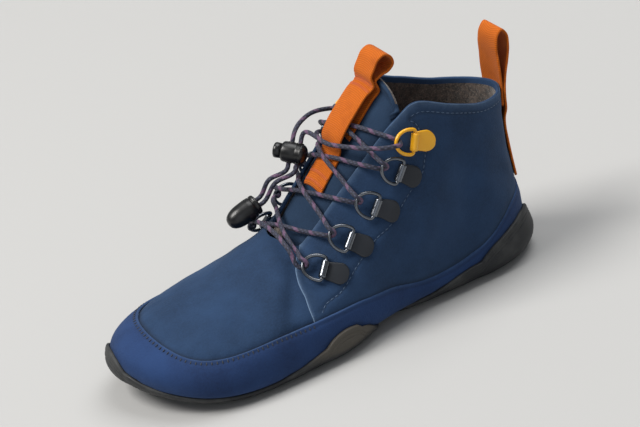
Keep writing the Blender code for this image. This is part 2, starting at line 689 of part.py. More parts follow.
def lace_end(station, side, lane):
    """Where a bar of lace stops, short of its ring. The lane keeps two of them side by side."""
    bar, along, inward, out = seat(station, side)
    lift = math.radians(RING_LIFT)
    reach = RING_DEPTH + RING_WIRE / 2 + LACE_FIT
    place = bar + out * (barrel_height() + reach * math.sin(lift)) + inward * reach * math.cos(lift)
    return place + along * lane * LANE


def nearest_on_tongue(point):
    v = np.linspace(0.22, 0.78, 57)[None, :]
    w = np.linspace(0.3, 1.0, 141)[:, None]
    gap = np.linalg.norm(on_tongue(v, w) - point, axis=-1)
    row, column = np.unravel_index(np.argmin(gap), gap.shape)
    return v[0, column], w[row, 0]


def over_tongue(start, end, height, steps=8):
    """A path in one plane from end to end that bows to stay the height above the tongue."""
    t = np.linspace(0, 1, steps)
    path = start + (end - start) * t[:, None]
    v, w = np.array([nearest_on_tongue(point) for point in path]).T
    bow = unit(BOW)
    lift = (on_tongue(v, w) - path) @ bow + height
    lift *= np.clip(np.minimum(t, 1 - t) / 0.14, 0, 1)
    return path + bow * lift[:, None]


def joined(base, tool):
    """Makes the base one solid with the tool, which is kept as a hidden helper."""
    tool.hide_render = True
    tool.display_type = "WIRE"
    union = base.modifiers.new("Join", "BOOLEAN")
    union.operation = "UNION"
    union.solver = "EXACT"
    union.object = tool
    return base


def make_laces():
    """The bars and crossings between the rings, and the legs and ends at the cord lock."""
    t = np.linspace(0, 1, 8)[:, None]
    start, end = lace_end(0, 1, -1), lace_end(0, -1, -1)
    bar = start + (end - start) * t + np.array([0.0, 0.0, BAR_LIFT]) * np.abs(np.sin(math.pi * t)) ** 0.6
    add("lace_bar", *tube(bar, LACE / 2, LACE_SIDES), "elastic_cord")
    for k, height in enumerate(CROSS_HEIGHTS):
        lane = 1 if k == len(CROSS_HEIGHTS) - 1 else -1
        one = over_tongue(lace_end(k, 1, 1), lace_end(k + 1, -1, lane), height)
        other = over_tongue(lace_end(k, -1, 1), lace_end(k + 1, 1, lane), height)
        first = add("lace_cross_%d" % (k + 1), *tube(one, LACE / 2, LACE_SIDES), "elastic_cord")
        joined(first, add("lace_tool_%d" % (k + 1), *tube(other, LACE / 2, LACE_SIDES), "elastic_cord"))
    lock, way, through = lock_frame()
    for name, side, lane in (("outer", 1, 1), ("inner", -1, -1)):
        start = lace_end(4, side, -1)
        end = lock - through * (LOCK_WIDTH / 2 + LACE_FIT) - way * lane * LOCK_LANE
        mouth = end - through * 3.0
        if side > 0:
            face, out = tongue_frame(np.array([0.42]), np.array([0.74]))
            between = [face[0] + out[0] * LEG_HEIGHT]
        else:
            between = [(start + mouth) / 2 + np.array([3.0, -2.0, 4.0])]
        path = smooth_path([start, *between, mouth, end], 3)
        add("lace_leg_" + name, *tube(path, LACE / 2, LACE_SIDES), "elastic_cord")
        start = lock + through * (LOCK_WIDTH / 2 + FIT) - way * lane * LOCK_LANE
        end, ahead = cord_end_frame()
        spread = unit(way - ahead * (way @ ahead))
        end = end - ahead * FIT - spread * lane * CORD_END_LANE
        straight = 2.5 * LACE
        middle = (start + end) / 2 + unit(BOW) * STRAND_BOW
        route = [start, start + through * straight, middle, end - ahead * straight, end]
        add_strand("lace_end_" + name, evenly(smooth_path(route, 12), 2.2 * LACE), "elastic_cord")


def unit(way):
    way = np.asarray(way, float)
    return way / np.linalg.norm(way)


def over(place, stand):
    """A point that stands off the tongue at a place on it."""
    face, out = tongue_frame(np.array([place[0]]), np.array([place[1]]))
    return face[0] + out[0] * stand


def lock_frame():
    """The cord lock's middle, the way to its button and the way that the cord runs through it."""
    lock, way = over(LOCK_PLACE, LOCK_STAND), unit(LOCK_WAY)
    through = over(CORD_END_PLACE, CORD_END_STAND) - lock
    return lock, way, unit(through - way * (through @ way))


def cord_end_frame():
    """The middle of the cord end's flat face and the way to its round end."""
    return over(CORD_END_PLACE, CORD_END_STAND), unit(CORD_END_WAY)


def make_lock():
    lock, way, _ = lock_frame()
    half, wide = LOCK_LENGTH / 2, LOCK_WIDTH / 2
    stations = [(-half, 0.62), (-half + 1.5, 0.90), (-half + 4.0, 1.0), (half - 1.2, 1.0), (half, 0.86)]
    path = [lock + way * at for at, _ in stations]
    add("cord_lock", *tube(path, np.array([share for _, share in stations]) * wide, 10), "black_plastic")
    end = half + BUTTON_LENGTH
    stations = [(half + FIT, 0.72), (half + 1.2, 0.76), (end - 1.0, 0.76), (end, 0.60)]
    path = [lock + way * at for at, _ in stations]
    radii = np.array([share for _, share in stations]) * wide
    add("cord_lock_button", *tube(path, radii, 10), "black_plastic")


def make_cord_end():
    face, ahead = cord_end_frame()
    stations = [(0.0, 0.80), (0.08, 0.98), (0.55, 1.0), (0.78, 0.92), (0.93, 0.66), (1.0, 0.28)]
    path = [face + ahead * CORD_END_LENGTH * at for at, _ in stations]
    radii = np.array([share for _, share in stations]) * CORD_END_WIDTH / 2
    add("cord_end", *tube(path, radii, 10), "black_plastic")


def strap_on_tongue(w, height):
    """A row across the strap that follows the tongue."""
    step = on_tongue(np.array([0.49, 0.51]), w)
    share = 0.02 / np.linalg.norm(step[1] - step[0])
    face, out = tongue_frame(0.5 + ACROSS * STRAP_WIDTH * share, np.full(5, w))
    return face + out * height


def make_tongue_loop():
    """One strap: sewn up the tongue, then a loop over the lace and back down to the tongue."""
    flat = FIT + WEBBING / 2
    rows = [strap_on_tongue(w, flat) for w in (0.60, 0.65, 0.70)]
    rows += [strap_on_tongue(w, h) for w, h in STRAP_RISE]
    middle = on_tongue(np.array([0.5]), np.array([1.0]))[0]
    top = on_tongue(np.array([0.5]), np.array([2.0]))[0]
    flat_row = np.outer(ACROSS * STRAP_WIDTH, (0, -1, 0))
    for x, z in TONGUE_BEND:
        rows.append(middle + np.array([x, 0.0, z]) * LOOP_HEIGHT + flat_row)
    lip = np.array([top[0] + flat + 1.2, top[1], top[2] + 0.3])
    curve = strap_on_tongue(1.0, 0.0)
    rows.append(lip + (curve - curve[2]) * (0.8, 1.0, 0.8))
    rows += [strap_on_tongue(w, h) for w, h in ((1.0, flat + 0.3), (0.93, flat), (0.86, flat), (0.775, flat))]
    grid = np.array(rows)
    return add("tongue_loop", *slab(grid, WEBBING / 2, WEBBING / 2), "orange_webbing")


def strap_on_heel(s, width, offset):
    """A row across the strap that follows the heel."""
    step = skin(np.array([-0.05, 0.05]), np.array([s, s]), 0)
    share = 0.1 / np.linalg.norm(step[1] - step[0])
    return skin(ACROSS * width * share, np.full(5, s), offset)


def make_heel_loop():
    """One strap: a wide patch up the heel, a loop above the collar, its end tucked under the patch."""
    near = QUARTER_STEP + FIT + WEBBING / 2
    far = near + WEBBING + FIT
    rows = [strap_on_heel(s, width * PATCH_WIDTH, near) for s, width in HEEL_PATCH]
    rows += [strap_on_heel(0.80, STRAP_WIDTH, near + 0.4)]
    rows += [strap_on_heel(s, STRAP_WIDTH, far) for s in (0.86, 0.93, 1.0)]
    rim = skin(np.array([0.0]), np.array([1.0]), 0)[0]
    bow = strap_on_heel(1.0, STRAP_WIDTH, far)
    bow = (bow - bow[2]) * (1, 1, 0)
    flat = np.outer(ACROSS * STRAP_WIDTH, (0, 1, 0))
    for x, z, rest in HEEL_BEND:
        rows.append(rim + np.array([x, 0.0, z]) * LOOP_HEIGHT + bow * rest + flat * (1 - rest))
    rows += [strap_on_heel(s, STRAP_WIDTH, near) for s in (1.0, 0.94, 0.88)]
    return add("heel_loop", *slab(np.array(rows), WEBBING / 2, WEBBING / 2), "orange_webbing")


def make_rings():
    for station in range(len(LACE_STATIONS)):
        top = station == len(LACE_STATIONS) - 1
        for side, word in ((1, "outer"), (-1, "inner")):
            end = "%s_%d" % (word, station + 1)
            make_plate("plate_" + end, station, side, "yellow_lacquer" if top else "gunmetal_plate")
            make_ring("ring_" + end, station, side, "yellow_lacquer" if top else "gunmetal_wire")


def centred():
    """Moves every object so that the middle of the footprint is the origin, on the floor."""
    everything = list(bpy.context.scene.collection.objects)
    meshes = [made.data for made in everything if made.type == "MESH"]
    points = np.concatenate([[vertex.co for vertex in mesh.vertices] for mesh in meshes])
    low, high = points.min(0), points.max(0)
    shift = mathutils.Vector((-(low[0] + high[0]) / 2, -(low[1] + high[1]) / 2, -low[2]))
    for made in everything:
        made.data.transform(mathutils.Matrix.Translation(shift))


def clear():
    for old in list(bpy.data.objects):
        bpy.data.objects.remove(old)


def main():
    clear()
    u = columns()
    make_upper(u)
    make_outsole(u)
    make_insole(u)
    make_tongue()
    make_tongue_loop()
    make_heel_loop()
    make_rings()
    make_laces()
    make_lock()
    make_cord_end()
    centred()


main()
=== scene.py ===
"""A left ankle-high barefoot shoe in nubuck and rubber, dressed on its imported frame.

Every surface is a function of two parameters on the shoe's last, worked out as
whole arrays. Sizes here are millimetres with the heel at x = 0; a piece is moved
to the frame and turned to metres when its mesh is made.
"""

import logging
import math
from dataclasses import dataclass, field
from enum import Enum
from typing import Any, Optional, Sequence

import bmesh
import bpy
import numpy as np
from mathutils import Matrix, Vector


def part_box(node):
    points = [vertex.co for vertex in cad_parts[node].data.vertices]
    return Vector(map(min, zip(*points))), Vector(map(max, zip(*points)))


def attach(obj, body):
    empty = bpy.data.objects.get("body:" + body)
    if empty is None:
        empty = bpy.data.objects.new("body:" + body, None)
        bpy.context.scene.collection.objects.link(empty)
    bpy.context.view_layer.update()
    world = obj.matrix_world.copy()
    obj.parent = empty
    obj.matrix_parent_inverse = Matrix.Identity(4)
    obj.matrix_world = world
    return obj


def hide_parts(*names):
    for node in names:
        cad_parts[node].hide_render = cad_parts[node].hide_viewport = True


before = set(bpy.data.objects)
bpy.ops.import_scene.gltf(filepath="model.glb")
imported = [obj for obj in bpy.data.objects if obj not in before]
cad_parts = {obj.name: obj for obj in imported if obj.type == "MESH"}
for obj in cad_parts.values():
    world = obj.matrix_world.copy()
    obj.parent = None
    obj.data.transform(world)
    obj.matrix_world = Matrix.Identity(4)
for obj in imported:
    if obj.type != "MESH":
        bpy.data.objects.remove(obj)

log = logging.getLogger("shoe")

Array = np.ndarray

# The last, a row for each rib from the heel round the outer side to the toe
# and back, as shares of the ball's width, the length and the collar's height.
LAST_TABLE = (
    # corner, foot x, y, rim x, y, z, rise, lean, handle x, y, z
    (0.070, 0.0095, 0.000, 0.0134, 0.000, 0.8125, 0.250, -0.005, 0.0172, 0.000, -0.267),
    (0.070, 0.0324, 0.180, 0.0363, 0.145, 0.8208, 0.250, -0.005, 0.0153, 0.010, -0.267),
    (0.070, 0.1031, 0.300, 0.1031, 0.260, 0.8500, 0.267, 0.015, 0.0076, 0.025, -0.283),
    (0.080, 0.2061, 0.345, 0.1870, 0.300, 0.9250, 0.308, 0.020, 0.0000, 0.050, -0.317),
    (0.090, 0.3206, 0.375, 0.2634, 0.280, 0.9917, 0.300, 0.020, 0.0076, 0.080, -0.350),
    (0.085, 0.3969, 0.405, 0.3168, 0.260, 0.9333, 0.283, 0.020, 0.0153, 0.110, -0.333),
    (0.080, 0.4885, 0.455, 0.4351, 0.200, 0.7083, 0.250, 0.020, 0.0191, 0.140, -0.233),
    (0.060, 0.6336, 0.510, 0.5611, 0.140, 0.4667, 0.183, 0.020, 0.0305, 0.190, -0.100),
    (0.050, 0.7634, 0.530, 0.5802, 0.100, 0.4917, 0.167, 0.020, 0.0534, 0.200, -0.108),
    (0.050, 0.8893, 0.445, 0.5954, 0.050, 0.5042, 0.167, 0.030, 0.1069, 0.140, -0.150),
    (0.050, 0.9771, 0.150, 0.6011, -0.015, 0.5083, 0.175, 0.040, 0.1298, 0.030, -0.167),
    (0.050, 0.9695, -0.190, 0.5973, -0.070, 0.5083, 0.183, 0.030, 0.1221, -0.080, -0.167),
    (0.050, 0.8626, -0.400, 0.5840, -0.130, 0.5000, 0.186, 0.020, 0.0840, -0.150, -0.160),
    (0.050, 0.7405, -0.455, 0.5725, -0.160, 0.4880, 0.200, 0.020, 0.0420, -0.180, -0.135),
    (0.060, 0.6183, -0.420, 0.5611, -0.180, 0.4833, 0.225, 0.020, 0.0229, -0.160, -0.117),
    (0.090, 0.4809, -0.340, 0.4351, -0.230, 0.7083, 0.267, 0.020, 0.0153, -0.120, -0.233),
    (0.095, 0.3969, -0.310, 0.3168, -0.270, 0.9167, 0.292, 0.020, 0.0115, -0.080, -0.333),
    (0.095, 0.3206, -0.310, 0.2634, -0.285, 0.9667, 0.300, 0.020, 0.0076, -0.060, -0.350),
    (0.080, 0.2061, -0.315, 0.1870, -0.295, 0.9000, 0.317, 0.020, 0.0000, -0.040, -0.317),
    (0.070, 0.1031, -0.290, 0.1031, -0.255, 0.8333, 0.283, 0.015, 0.0076, -0.025, -0.283),
    (0.070, 0.0324, -0.180, 0.0363, -0.145, 0.8125, 0.250, -0.005, 0.0153, -0.010, -0.267),
)
RIBS = len(LAST_TABLE)

# About how many millimetres one unit of height is at the vamp, for soft fades.
MM_PER_HEIGHT = 60

# Height of the rand's top seam on the last, by rib.
RAND_TOP = (
    (0.0, 0.330), (1.2, 0.310), (1.8, 0.270), (2.1, 0.205), (2.5, 0.120), (2.9, 0.070),
    (3.4, 0.040), (4.0, 0.040), (4.7, 0.070), (5.8, 0.135), (6.4, 0.220), (6.9, 0.295),
    (7.5, 0.320), (8.0, 0.320), (8.4, 0.300), (8.8, 0.272), (9.2, 0.262), (9.7, 0.310),
    (10.2, 0.345), (11.0, 0.360), (12.0, 0.330), (13.0, 0.300), (14.0, 0.280), (15.0, 0.190),
    (16.0, 0.100), (17.0, 0.060), (18.0, 0.060), (19.0, 0.150), (20.0, 0.300), (21.0, 0.330),
)

# Where the outsole's edge runs: 0 is where the foot's corner meets its side.
SOLE_LINE = (
    (0.0, -0.05), (0.35, 0.02), (0.7, 0.14), (1.4, 0.16), (1.94, 0.125), (2.5, 0.06),
    (3.1, -0.05), (3.55, -0.28), (4.0, -0.50), (4.6, -0.75), (5.1, -1.05), (5.55, -1.05),
    (5.75, -0.72), (5.95, -0.28), (6.15, 0.02), (6.5, 0.075), (6.8, 0.03), (7.2, -0.25),
    (7.7, -0.50), (8.2, -0.60), (9.0, -0.62), (9.5, -0.56), (9.8, -0.38), (10.0, -0.12),
    (10.25, 0.05), (10.6, 0.10), (11.1, 0.06), (11.6, -0.12), (12.2, -0.42), (13.0, -0.56),
    (14.0, -0.60), (14.6, -0.85), (15.0, -1.30), (15.5, -1.62), (16.0, -1.72), (16.6, -1.66),
    (17.1, -1.45), (17.6, -1.05), (18.0, -0.50), (18.6, -0.05), (19.1, 0.10), (19.6, 0.16),
    (20.3, 0.14), (20.65, 0.02), (21.0, -0.05),
)

# How much of the lasting margin the leather reaches in under the foot, by rib.
MARGIN_REACH = (
    (0.0, 0.50), (1.5, 0.55), (3.0, 0.80), (4.5, 1.00), (7.0, 0.95), (9.0, 0.80), (10.5, 0.75),
    (12.0, 0.80), (14.0, 0.95), (15.5, 1.00), (17.0, 1.00), (18.2, 0.80), (19.5, 0.55), (21.0, 0.50),
)

# How far the quarter's front edge swings forward of its rib, by height.
QUARTER_RIB = 6.93
QUARTER_EDGE = (
    (0.30, 0.00), (0.55, 0.13), (0.70, 0.33), (0.80, 0.43), (0.90, 0.34), (0.96, 0.18), (1.00, 0.00),
)

# The ring of each lace station: its bar, then its plate's tail, as rib and height.
LACE_STATIONS = (
    (6.58, 0.640, 6.32, 0.470),
    (6.14, 0.660, 5.80, 0.485),
    (5.60, 0.705, 5.14, 0.545),
    (5.04, 0.765, 4.38, 0.665),
    (4.37, 0.850, 3.66, 0.808),
)

# The line of stitches behind the plates, as rib and height from the rand to the collar.
FACING_STITCH = (
    (6.78, 0.31), (6.74, 0.345), (6.40, 0.37), (6.10, 0.445), (5.72, 0.51), (5.28, 0.515),
    (4.88, 0.585), (4.40, 0.635), (4.02, 0.70), (3.92, 0.80), (4.06, 0.89), (4.36, 0.945),
)

# Soft creases of the leather: rib and height along each, then its width in
# millimetres and its depth as a share of CREASE_DEPTH, where a ridge is negative.
CREASE_DEPTH = 1.5
CREASES = (
    (((7.35, 0.36), (7.45, 0.55), (7.60, 0.78), (7.90, 0.95)), 5.0, 1.3),
    (((7.95, 0.45), (8.05, 0.62), (8.30, 0.85)), 7.0, -0.8),
    (((8.30, 0.52), (9.10, 0.66), (10.4, 0.72), (11.8, 0.68)), 8.0, 0.7),
    (((8.20, 0.70), (9.20, 0.82), (10.5, 0.86), (12.0, 0.82)), 6.5, -0.5),
    (((8.15, 0.38), (8.70, 0.47), (9.10, 0.60)), 5.0, 0.6),
    (((5.35, 0.16), (5.10, 0.34), (4.70, 0.50)), 8.0, 0.8),
    (((4.20, 0.10), (4.00, 0.34), (3.75, 0.56), (3.60, 0.74)), 9.0, -0.9),
    (((3.10, 0.12), (3.00, 0.36), (2.90, 0.60), (3.00, 0.84)), 8.0, 0.9),
    (((2.20, 0.30), (2.30, 0.50), (2.25, 0.74)), 7.0, -0.6),
    (((1.40, 0.42), (1.80, 0.52), (2.40, 0.56), (3.20, 0.52)), 6.0, 0.7),
    (((1.00, 0.60), (1.50, 0.68), (2.20, 0.70), (3.00, 0.66)), 6.0, 0.6),
    (((0.90, 0.84), (1.60, 0.88), (2.60, 0.88)), 5.0, 0.5),
    (((16.6, 0.16), (16.8, 0.36), (17.1, 0.60), (17.3, 0.80)), 8.0, 0.9),
    (((17.8, 0.14), (18.0, 0.40), (18.2, 0.70)), 9.0, -0.8),
    (((18.8, 0.48), (19.4, 0.54), (20.1, 0.50)), 6.0, 0.7),
    (((18.6, 0.70), (19.4, 0.72), (20.2, 0.68)), 6.0, 0.6),
    (((13.6, 0.38), (13.5, 0.58), (13.3, 0.80)), 6.0, 1.1),
    (((14.9, 0.26), (15.2, 0.42), (15.6, 0.56)), 6.0, 0.7),
)

# Sizes of the pieces that more than one class needs.
WALL = 1.8
RAND_STEP = 1.1
QUARTER_STEP = 0.6
FIT = 0.3
LACE = 2.6
WEBBING = 1.4
STRAP_WIDTH = 19.0
LOOP_HEIGHT = 34.0

# The tongue's middle, which bridges the throat, as shares across it from the outer side.
BRIDGE_START = 0.22
BRIDGE_END = 0.78
BRIDGE_SPAN = 0.56

# Sizes of the rings.
RING_WIDTH = 14.0
RING_DEPTH = 12.0
RING_WIRE = 2.0
RING_LIFT = math.radians(12.0)
BARREL_HEIGHT = 2.65

# The way that the lace bows off the tongue, and the places of lock and cord end.
BOW = (0.68, 0.0, 0.73)
STRAND_BOW = 2.5
LACE_FIT = 0.9
LANE = 2.1
BAR_LIFT = 11.5
CROSS_HEIGHTS = (5.0, 4.4, 4.6, 3.8)
LEG_HEIGHT = 10.0
LOCK_WIDTH = 11.6
LOCK_LENGTH = 14.0
BUTTON_LENGTH = 5.0
LOCK_PLACE = (0.665, 0.665)
LOCK_STAND = 12.6
LOCK_WAY = (0.66, -0.73, 0.19)
LOCK_LANE = 2.4
CORD_END_PLACE = (0.755, 0.495)
CORD_END_STAND = 16.3
CORD_END_WAY = (0.96, 0.0, -0.28)
CORD_END_LANE = 2.0
CORD_END_LENGTH = 20.0
CORD_END_WIDTH = 12.4


class Side(Enum):
    """The two sides of the shoe, as the sign of Y."""

    OUTER = 1
    INNER = -1


def unit(way: Sequence[float]) -> Array:
    """The way, one long."""
    way = np.asarray(way, float)
    return way / np.linalg.norm(way)


def bell(gap: Array, width: float) -> Array:
    """A soft rise: e to the power of minus the square of a gap over a width."""
    return np.exp(-((gap / width) ** 2))


def held(share: Array) -> Array:
    """A share held between 0 and 1."""
    return np.clip(share, 0, 1)


def units(ways: Array) -> Array:
    """Rows of ways, each one long."""
    return ways / np.linalg.norm(ways, axis=-1)[..., None]


def cubic(ends: tuple[Array, Array], slopes: tuple[Array, Array], t: Array) -> Array:
    """The cubic that leaves one end with one slope and reaches the other with the other."""
    near = (2 * t**3 - 3 * t**2 + 1) * ends[0] + (t**3 - 2 * t**2 + t) * slopes[0]
    return near + (3 * t**2 - 2 * t**3) * ends[1] + (t**3 - t**2) * slopes[1]


def hermite(points: Array, slope: Array, at: Array) -> Array:
    """The cubic through numbered points with the given slopes.

    Args:
        points: a row for each whole number.
        slope: the slope at each of them.
        at: where to read the curve, which wraps round at the last row.

    Returns:
        A row for each place in at.
    """
    count = len(points)
    first = np.floor(at).astype(int)
    row, after = first % count, (first + 1) % count
    return cubic((points[row], points[after]), (slope[row], slope[after]), (at - first)[:, None])


def spline(points: Array, at: Array) -> Array:
    """The smooth closed curve through evenly numbered points, read at the given places.

    Args:
        points: a row for each whole number.
        at: where to read the curve.

    Returns:
        A row for each place in at.
    """
    points = np.asarray(points, float)
    count = len(points)
    system = 4 * np.eye(count) + np.roll(np.eye(count), 1, 0) + np.roll(np.eye(count), -1, 0)
    slope = np.linalg.solve(system, 3 * (np.roll(points, -1, 0) - np.roll(points, 1, 0)))
    return hermite(points, slope, at)


def unswung(points: Array, at: Array) -> Array:
    """The closed curve through the points that never swings past one of them.

    Args:
        points: a row for each whole number.
        at: where to read the curve.

    Returns:
        A row for each place in at.
    """
    points = np.asarray(points, float)
    ahead = np.roll(points, -1, 0) - points
    behind = np.roll(ahead, 1, 0)
    product = ahead * behind
    total = np.where(product > 0, ahead + behind, 1.0)
    return hermite(points, np.where(product > 0, 2 * product / total, 0.0), at)


def distances(points: Array, axis: int = 0) -> Array:
    """How far each point is along its line, where the lines run down an axis of the array."""
    steps = np.linalg.norm(np.diff(points, axis=axis), axis=-1)
    return np.insert(np.cumsum(steps, axis=axis), 0, 0, axis=axis)


def curve_through(points: Sequence[Sequence[float]], steps: int) -> Array:
    """An open smooth curve through the points, its slopes taken by distance along them.

    Args:
        points: the curve's own points, as rows of any length.
        steps: how many steps each stretch is cut in.

    Returns:
        The points of the curve, the first and last of the given ones among them.
    """
    points = np.asarray(points, float)
    slope = np.gradient(points, distances(points), axis=0)
    gaps = np.linalg.norm(np.diff(points, axis=0), axis=1)
    t = (np.arange(steps) / steps)[None, :, None]
    slopes = tuple(ends[:, None] * gaps[:, None, None] for ends in (slope[:-1], slope[1:]))
    path = cubic((points[:-1, None], points[1:, None]), slopes, t)
    return np.concatenate([path.reshape(-1, points.shape[1]), points[-1:]])


def read_along(values: Array, at: Array, along: Array) -> Array:
    """Rows of three values, known at distances along a path, read at others."""
    return np.array([np.interp(at, along, values[:, k]) for k in range(3)]).T


def evenly(path: Array, gap: float) -> Array:
    """The points of a path taken about a gap apart, its two ends among them."""
    along = distances(path)
    at = np.linspace(0, along[-1], max(round(along[-1] / gap), 3) + 1)
    return read_along(path, at, along)


def looked_up(table: Sequence[Sequence[float]], at: Array) -> Array:
    """A value read from a table by rib, which wraps round."""
    rows = np.array(table)
    return np.interp(np.mod(at, RIBS), rows[:, 0], rows[:, 1])


def distance_to(points: Array, line: Array) -> Array:
    """How far each point is from an open line of straight stretches.

    Args:
        points: rows of x, y and z.
        line: the line's points.

    Returns:
        A distance for each point.
    """
    best = np.full(len(points), np.inf)
    for start, end in zip(line[:-1], line[1:]):
        along = end - start
        share = held((points - start) @ along / max(along @ along, 1e-12))
        best = np.minimum(best, np.linalg.norm(points - start - share[:, None] * along, axis=1))
    return best


def waves(points: Array, length: float, seed: int, layers: int = 5) -> Array:
    """A soft uneven field: a sum of plane waves whose ways and phases are drawn from a seed.

    Args:
        points: rows of x, y and z.
        length: the typical wavelength.
        seed: what the ways are drawn from.
        layers: how many waves are summed.

    Returns:
        A value from about -1 to 1 for each point.
    """
    draw = np.random.default_rng(seed)
    total = np.zeros(len(points))
    for _ in range(layers):
        way = unit(draw.normal(size=3)) * 2 * math.pi / (length * draw.uniform(0.75, 1.35))
        total += np.sin(points @ way + draw.uniform(0, 2 * math.pi))
    return total / math.sqrt(layers)


@dataclass(frozen=True)
class Last:
    """The form that the shoe is built on.

    A place on it is a rib number u round the foot, and a height s: 0 to 1 up the
    side to the rim, -1 to 0 round the corner under the foot, less below it.
    """

    length: float = 262.0
    ball_width: float = 100.0
    collar_height: float = 120.0
    toe_spring: float = 13.5
    spring_start: float = 0.73
    spring_run: float = 0.27
    arch_lift: float = 1.5
    arch_middle: float = 0.43
    arch_reach: float = 0.14
    sole_and_rand: float = 5.4
    margin: float = 17.0

    def shares(self) -> Array:
        """The table as an array."""
        return np.array(LAST_TABLE)

    def base_height(self, x: Array) -> Array:
        """Height of the upper's underside: the sole, the toe's spring as a square, and the arch.

        Args:
            x: distances from the heel.

        Returns:
            A height for each.
        """
        share = x / self.length
        spring = np.clip((share - self.spring_start) / self.spring_run, 0, None) ** 2
        arch = np.clip(1 - ((share - self.arch_middle) / self.arch_reach) ** 2, 0, None) ** 2
        return self.sole_and_rand + self.toe_spring * spring + self.arch_lift * arch

    def reach_under(self, u: Array) -> Array:
        """How far the leather reaches in under the foot, by rib."""
        return self.margin * looked_up(MARGIN_REACH, u)

    def corner(self, u: Array) -> Array:
        """The radius of the corner under the foot, by rib."""
        return spline(self.shares()[:, [0]] * self.ball_width, u)[:, 0]

    def place(self, u: Array, s: Array) -> Array:
        """Points of the last: each rib is a cubic curve from foot to rim above a quarter round.

        Args:
            u: rib numbers.
            s: heights.

        Returns:
            Points, in an array of the same shape and one axis more.
        """
        u, s = np.broadcast_arrays(np.asarray(u, float), np.asarray(s, float))
        shape = u.shape
        u, s = u.ravel(), s.ravel()
        table = self.shares()
        corner = self.corner(u)
        plan = table[:, [1, 2]] * (self.length, self.ball_width)
        foot = spline(plan, u)
        step = spline(plan, u + 1e-3) - spline(plan, u - 1e-3)
        out = units(np.c_[-step[:, 1], step[:, 0], 0 * u])
        foot = np.c_[foot, self.base_height(foot[:, 0]) + corner]
        rim = unswung(table[:, [3, 4, 5]] * (self.length, self.ball_width, self.collar_height), u)
        lift = spline(table[:, [6, 7]] * (self.collar_height, self.ball_width), u)
        handle = spline(table[:, [8, 9, 10]] * (self.length, self.ball_width, self.collar_height), u)
        low = foot + out * lift[:, 1:2] + np.c_[0 * u, 0 * u, lift[:, 0]]
        high = rim + handle
        t = np.clip(s, 0, None)[:, None]
        side = (1 - t) ** 3 * foot + 3 * (1 - t) ** 2 * t * low + 3 * (1 - t) * t**2 * high + t**3 * rim
        turn = held(s + 1) * math.pi / 2
        inward = corner * (1 - np.sin(turn)) + self.reach_under(u) * np.clip(-1 - s, 0, None)
        under = foot - out * inward[:, None]
        under[:, 2] = self.base_height(under[:, 0]) + corner * (1 - np.cos(turn))
        return np.where((s > 0)[:, None], side, under).reshape(shape + (3,))

    def ways(self, u: Array, s: Array) -> tuple[Array, Array]:
        """The outward normal and the unit way up the side, by small steps along u and s.

        Args:
            u: rib numbers.
            s: heights.

        Returns:
            The two ways, as rows of x, y and z.
        """
        small = 2e-3
        along = self.place(u + small, s) - self.place(u - small, s)
        up = self.place(u, s + small) - self.place(u, s - small)
        return units(np.cross(up, along)), units(up)

    def skin(self, u: Array, s: Array, offset: Any) -> Array:
        """The last, moved out along its normal by the offset."""
        u, s, offset = np.broadcast_arrays(*(np.asarray(value, float) for value in (u, s, offset)))
        return self.place(u, s) + self.ways(u, s)[0] * offset[..., None]

    def steepness(self, u: Array, s: Array) -> Array:
        """Millimetres up the side for one unit of height."""
        small = 1e-2
        return np.linalg.norm(self.place(u, s + small) - self.place(u, s - small), axis=-1) / (2 * small)

    def breadth(self, u: Array, s: Array) -> Array:
        """Millimetres round the foot for one rib."""
        small = 1e-2
        return np.linalg.norm(self.place(u + small, s) - self.place(u - small, s), axis=-1) / (2 * small)

    def line(self, marks: Sequence[Sequence[float]], steps: int = 8) -> Array:
        """A smooth line on the last through marks given as rib and height."""
        flat = curve_through([(u, s, 0.0) for u, s in marks], steps)
        return self.place(flat[:, 0], flat[:, 1])

    def mirrored(self, marks: Sequence[Sequence[float]]) -> list[tuple[float, float]]:
        """The same marks on the inner side."""
        return [(RIBS - u, s) for u, s in marks]

    def relief(self, points: Array) -> Array:
        """How far the creased leather stands off the last, as a sum of soft round-shouldered troughs.

        Args:
            points: rows of places on the last.

        Returns:
            An offset for each, from the listed creases and a faint unevenness.
        """
        total = 0.16 * waves(points, 34.0, 3) + 0.07 * waves(points, 13.0, 4)
        for marks, width, depth in CREASES:
            line = self.line(marks)
            away = distance_to(points, line) / width
            ends = np.min([np.linalg.norm(points - end, axis=1) for end in (line[0], line[-1])], axis=0)
            fade = 0.45 + 0.55 * held(ends / (2 * width))
            total -= CREASE_DEPTH * depth * np.exp(-(away**2)) * fade
        return total


def linear(code: str) -> tuple[float, float, float, float]:
    """The linear colour of an sRGB hex value, with alpha 1."""
    raw = np.array([int(code[k : k + 2], 16) for k in (1, 3, 5)]) / 255
    value = np.where(raw <= 0.04045, raw / 12.92, ((raw + 0.055) / 1.055) ** 2.4)
    return (*value.tolist(), 1.0)


def features(size: float, detail: float = 2.0) -> dict:
    """Noise settings for features about size millimetres wide, on metre coordinates."""
    return {"Scale": 1000.0 / (2.2 * size), "Detail": detail, "Roughness": 0.6}


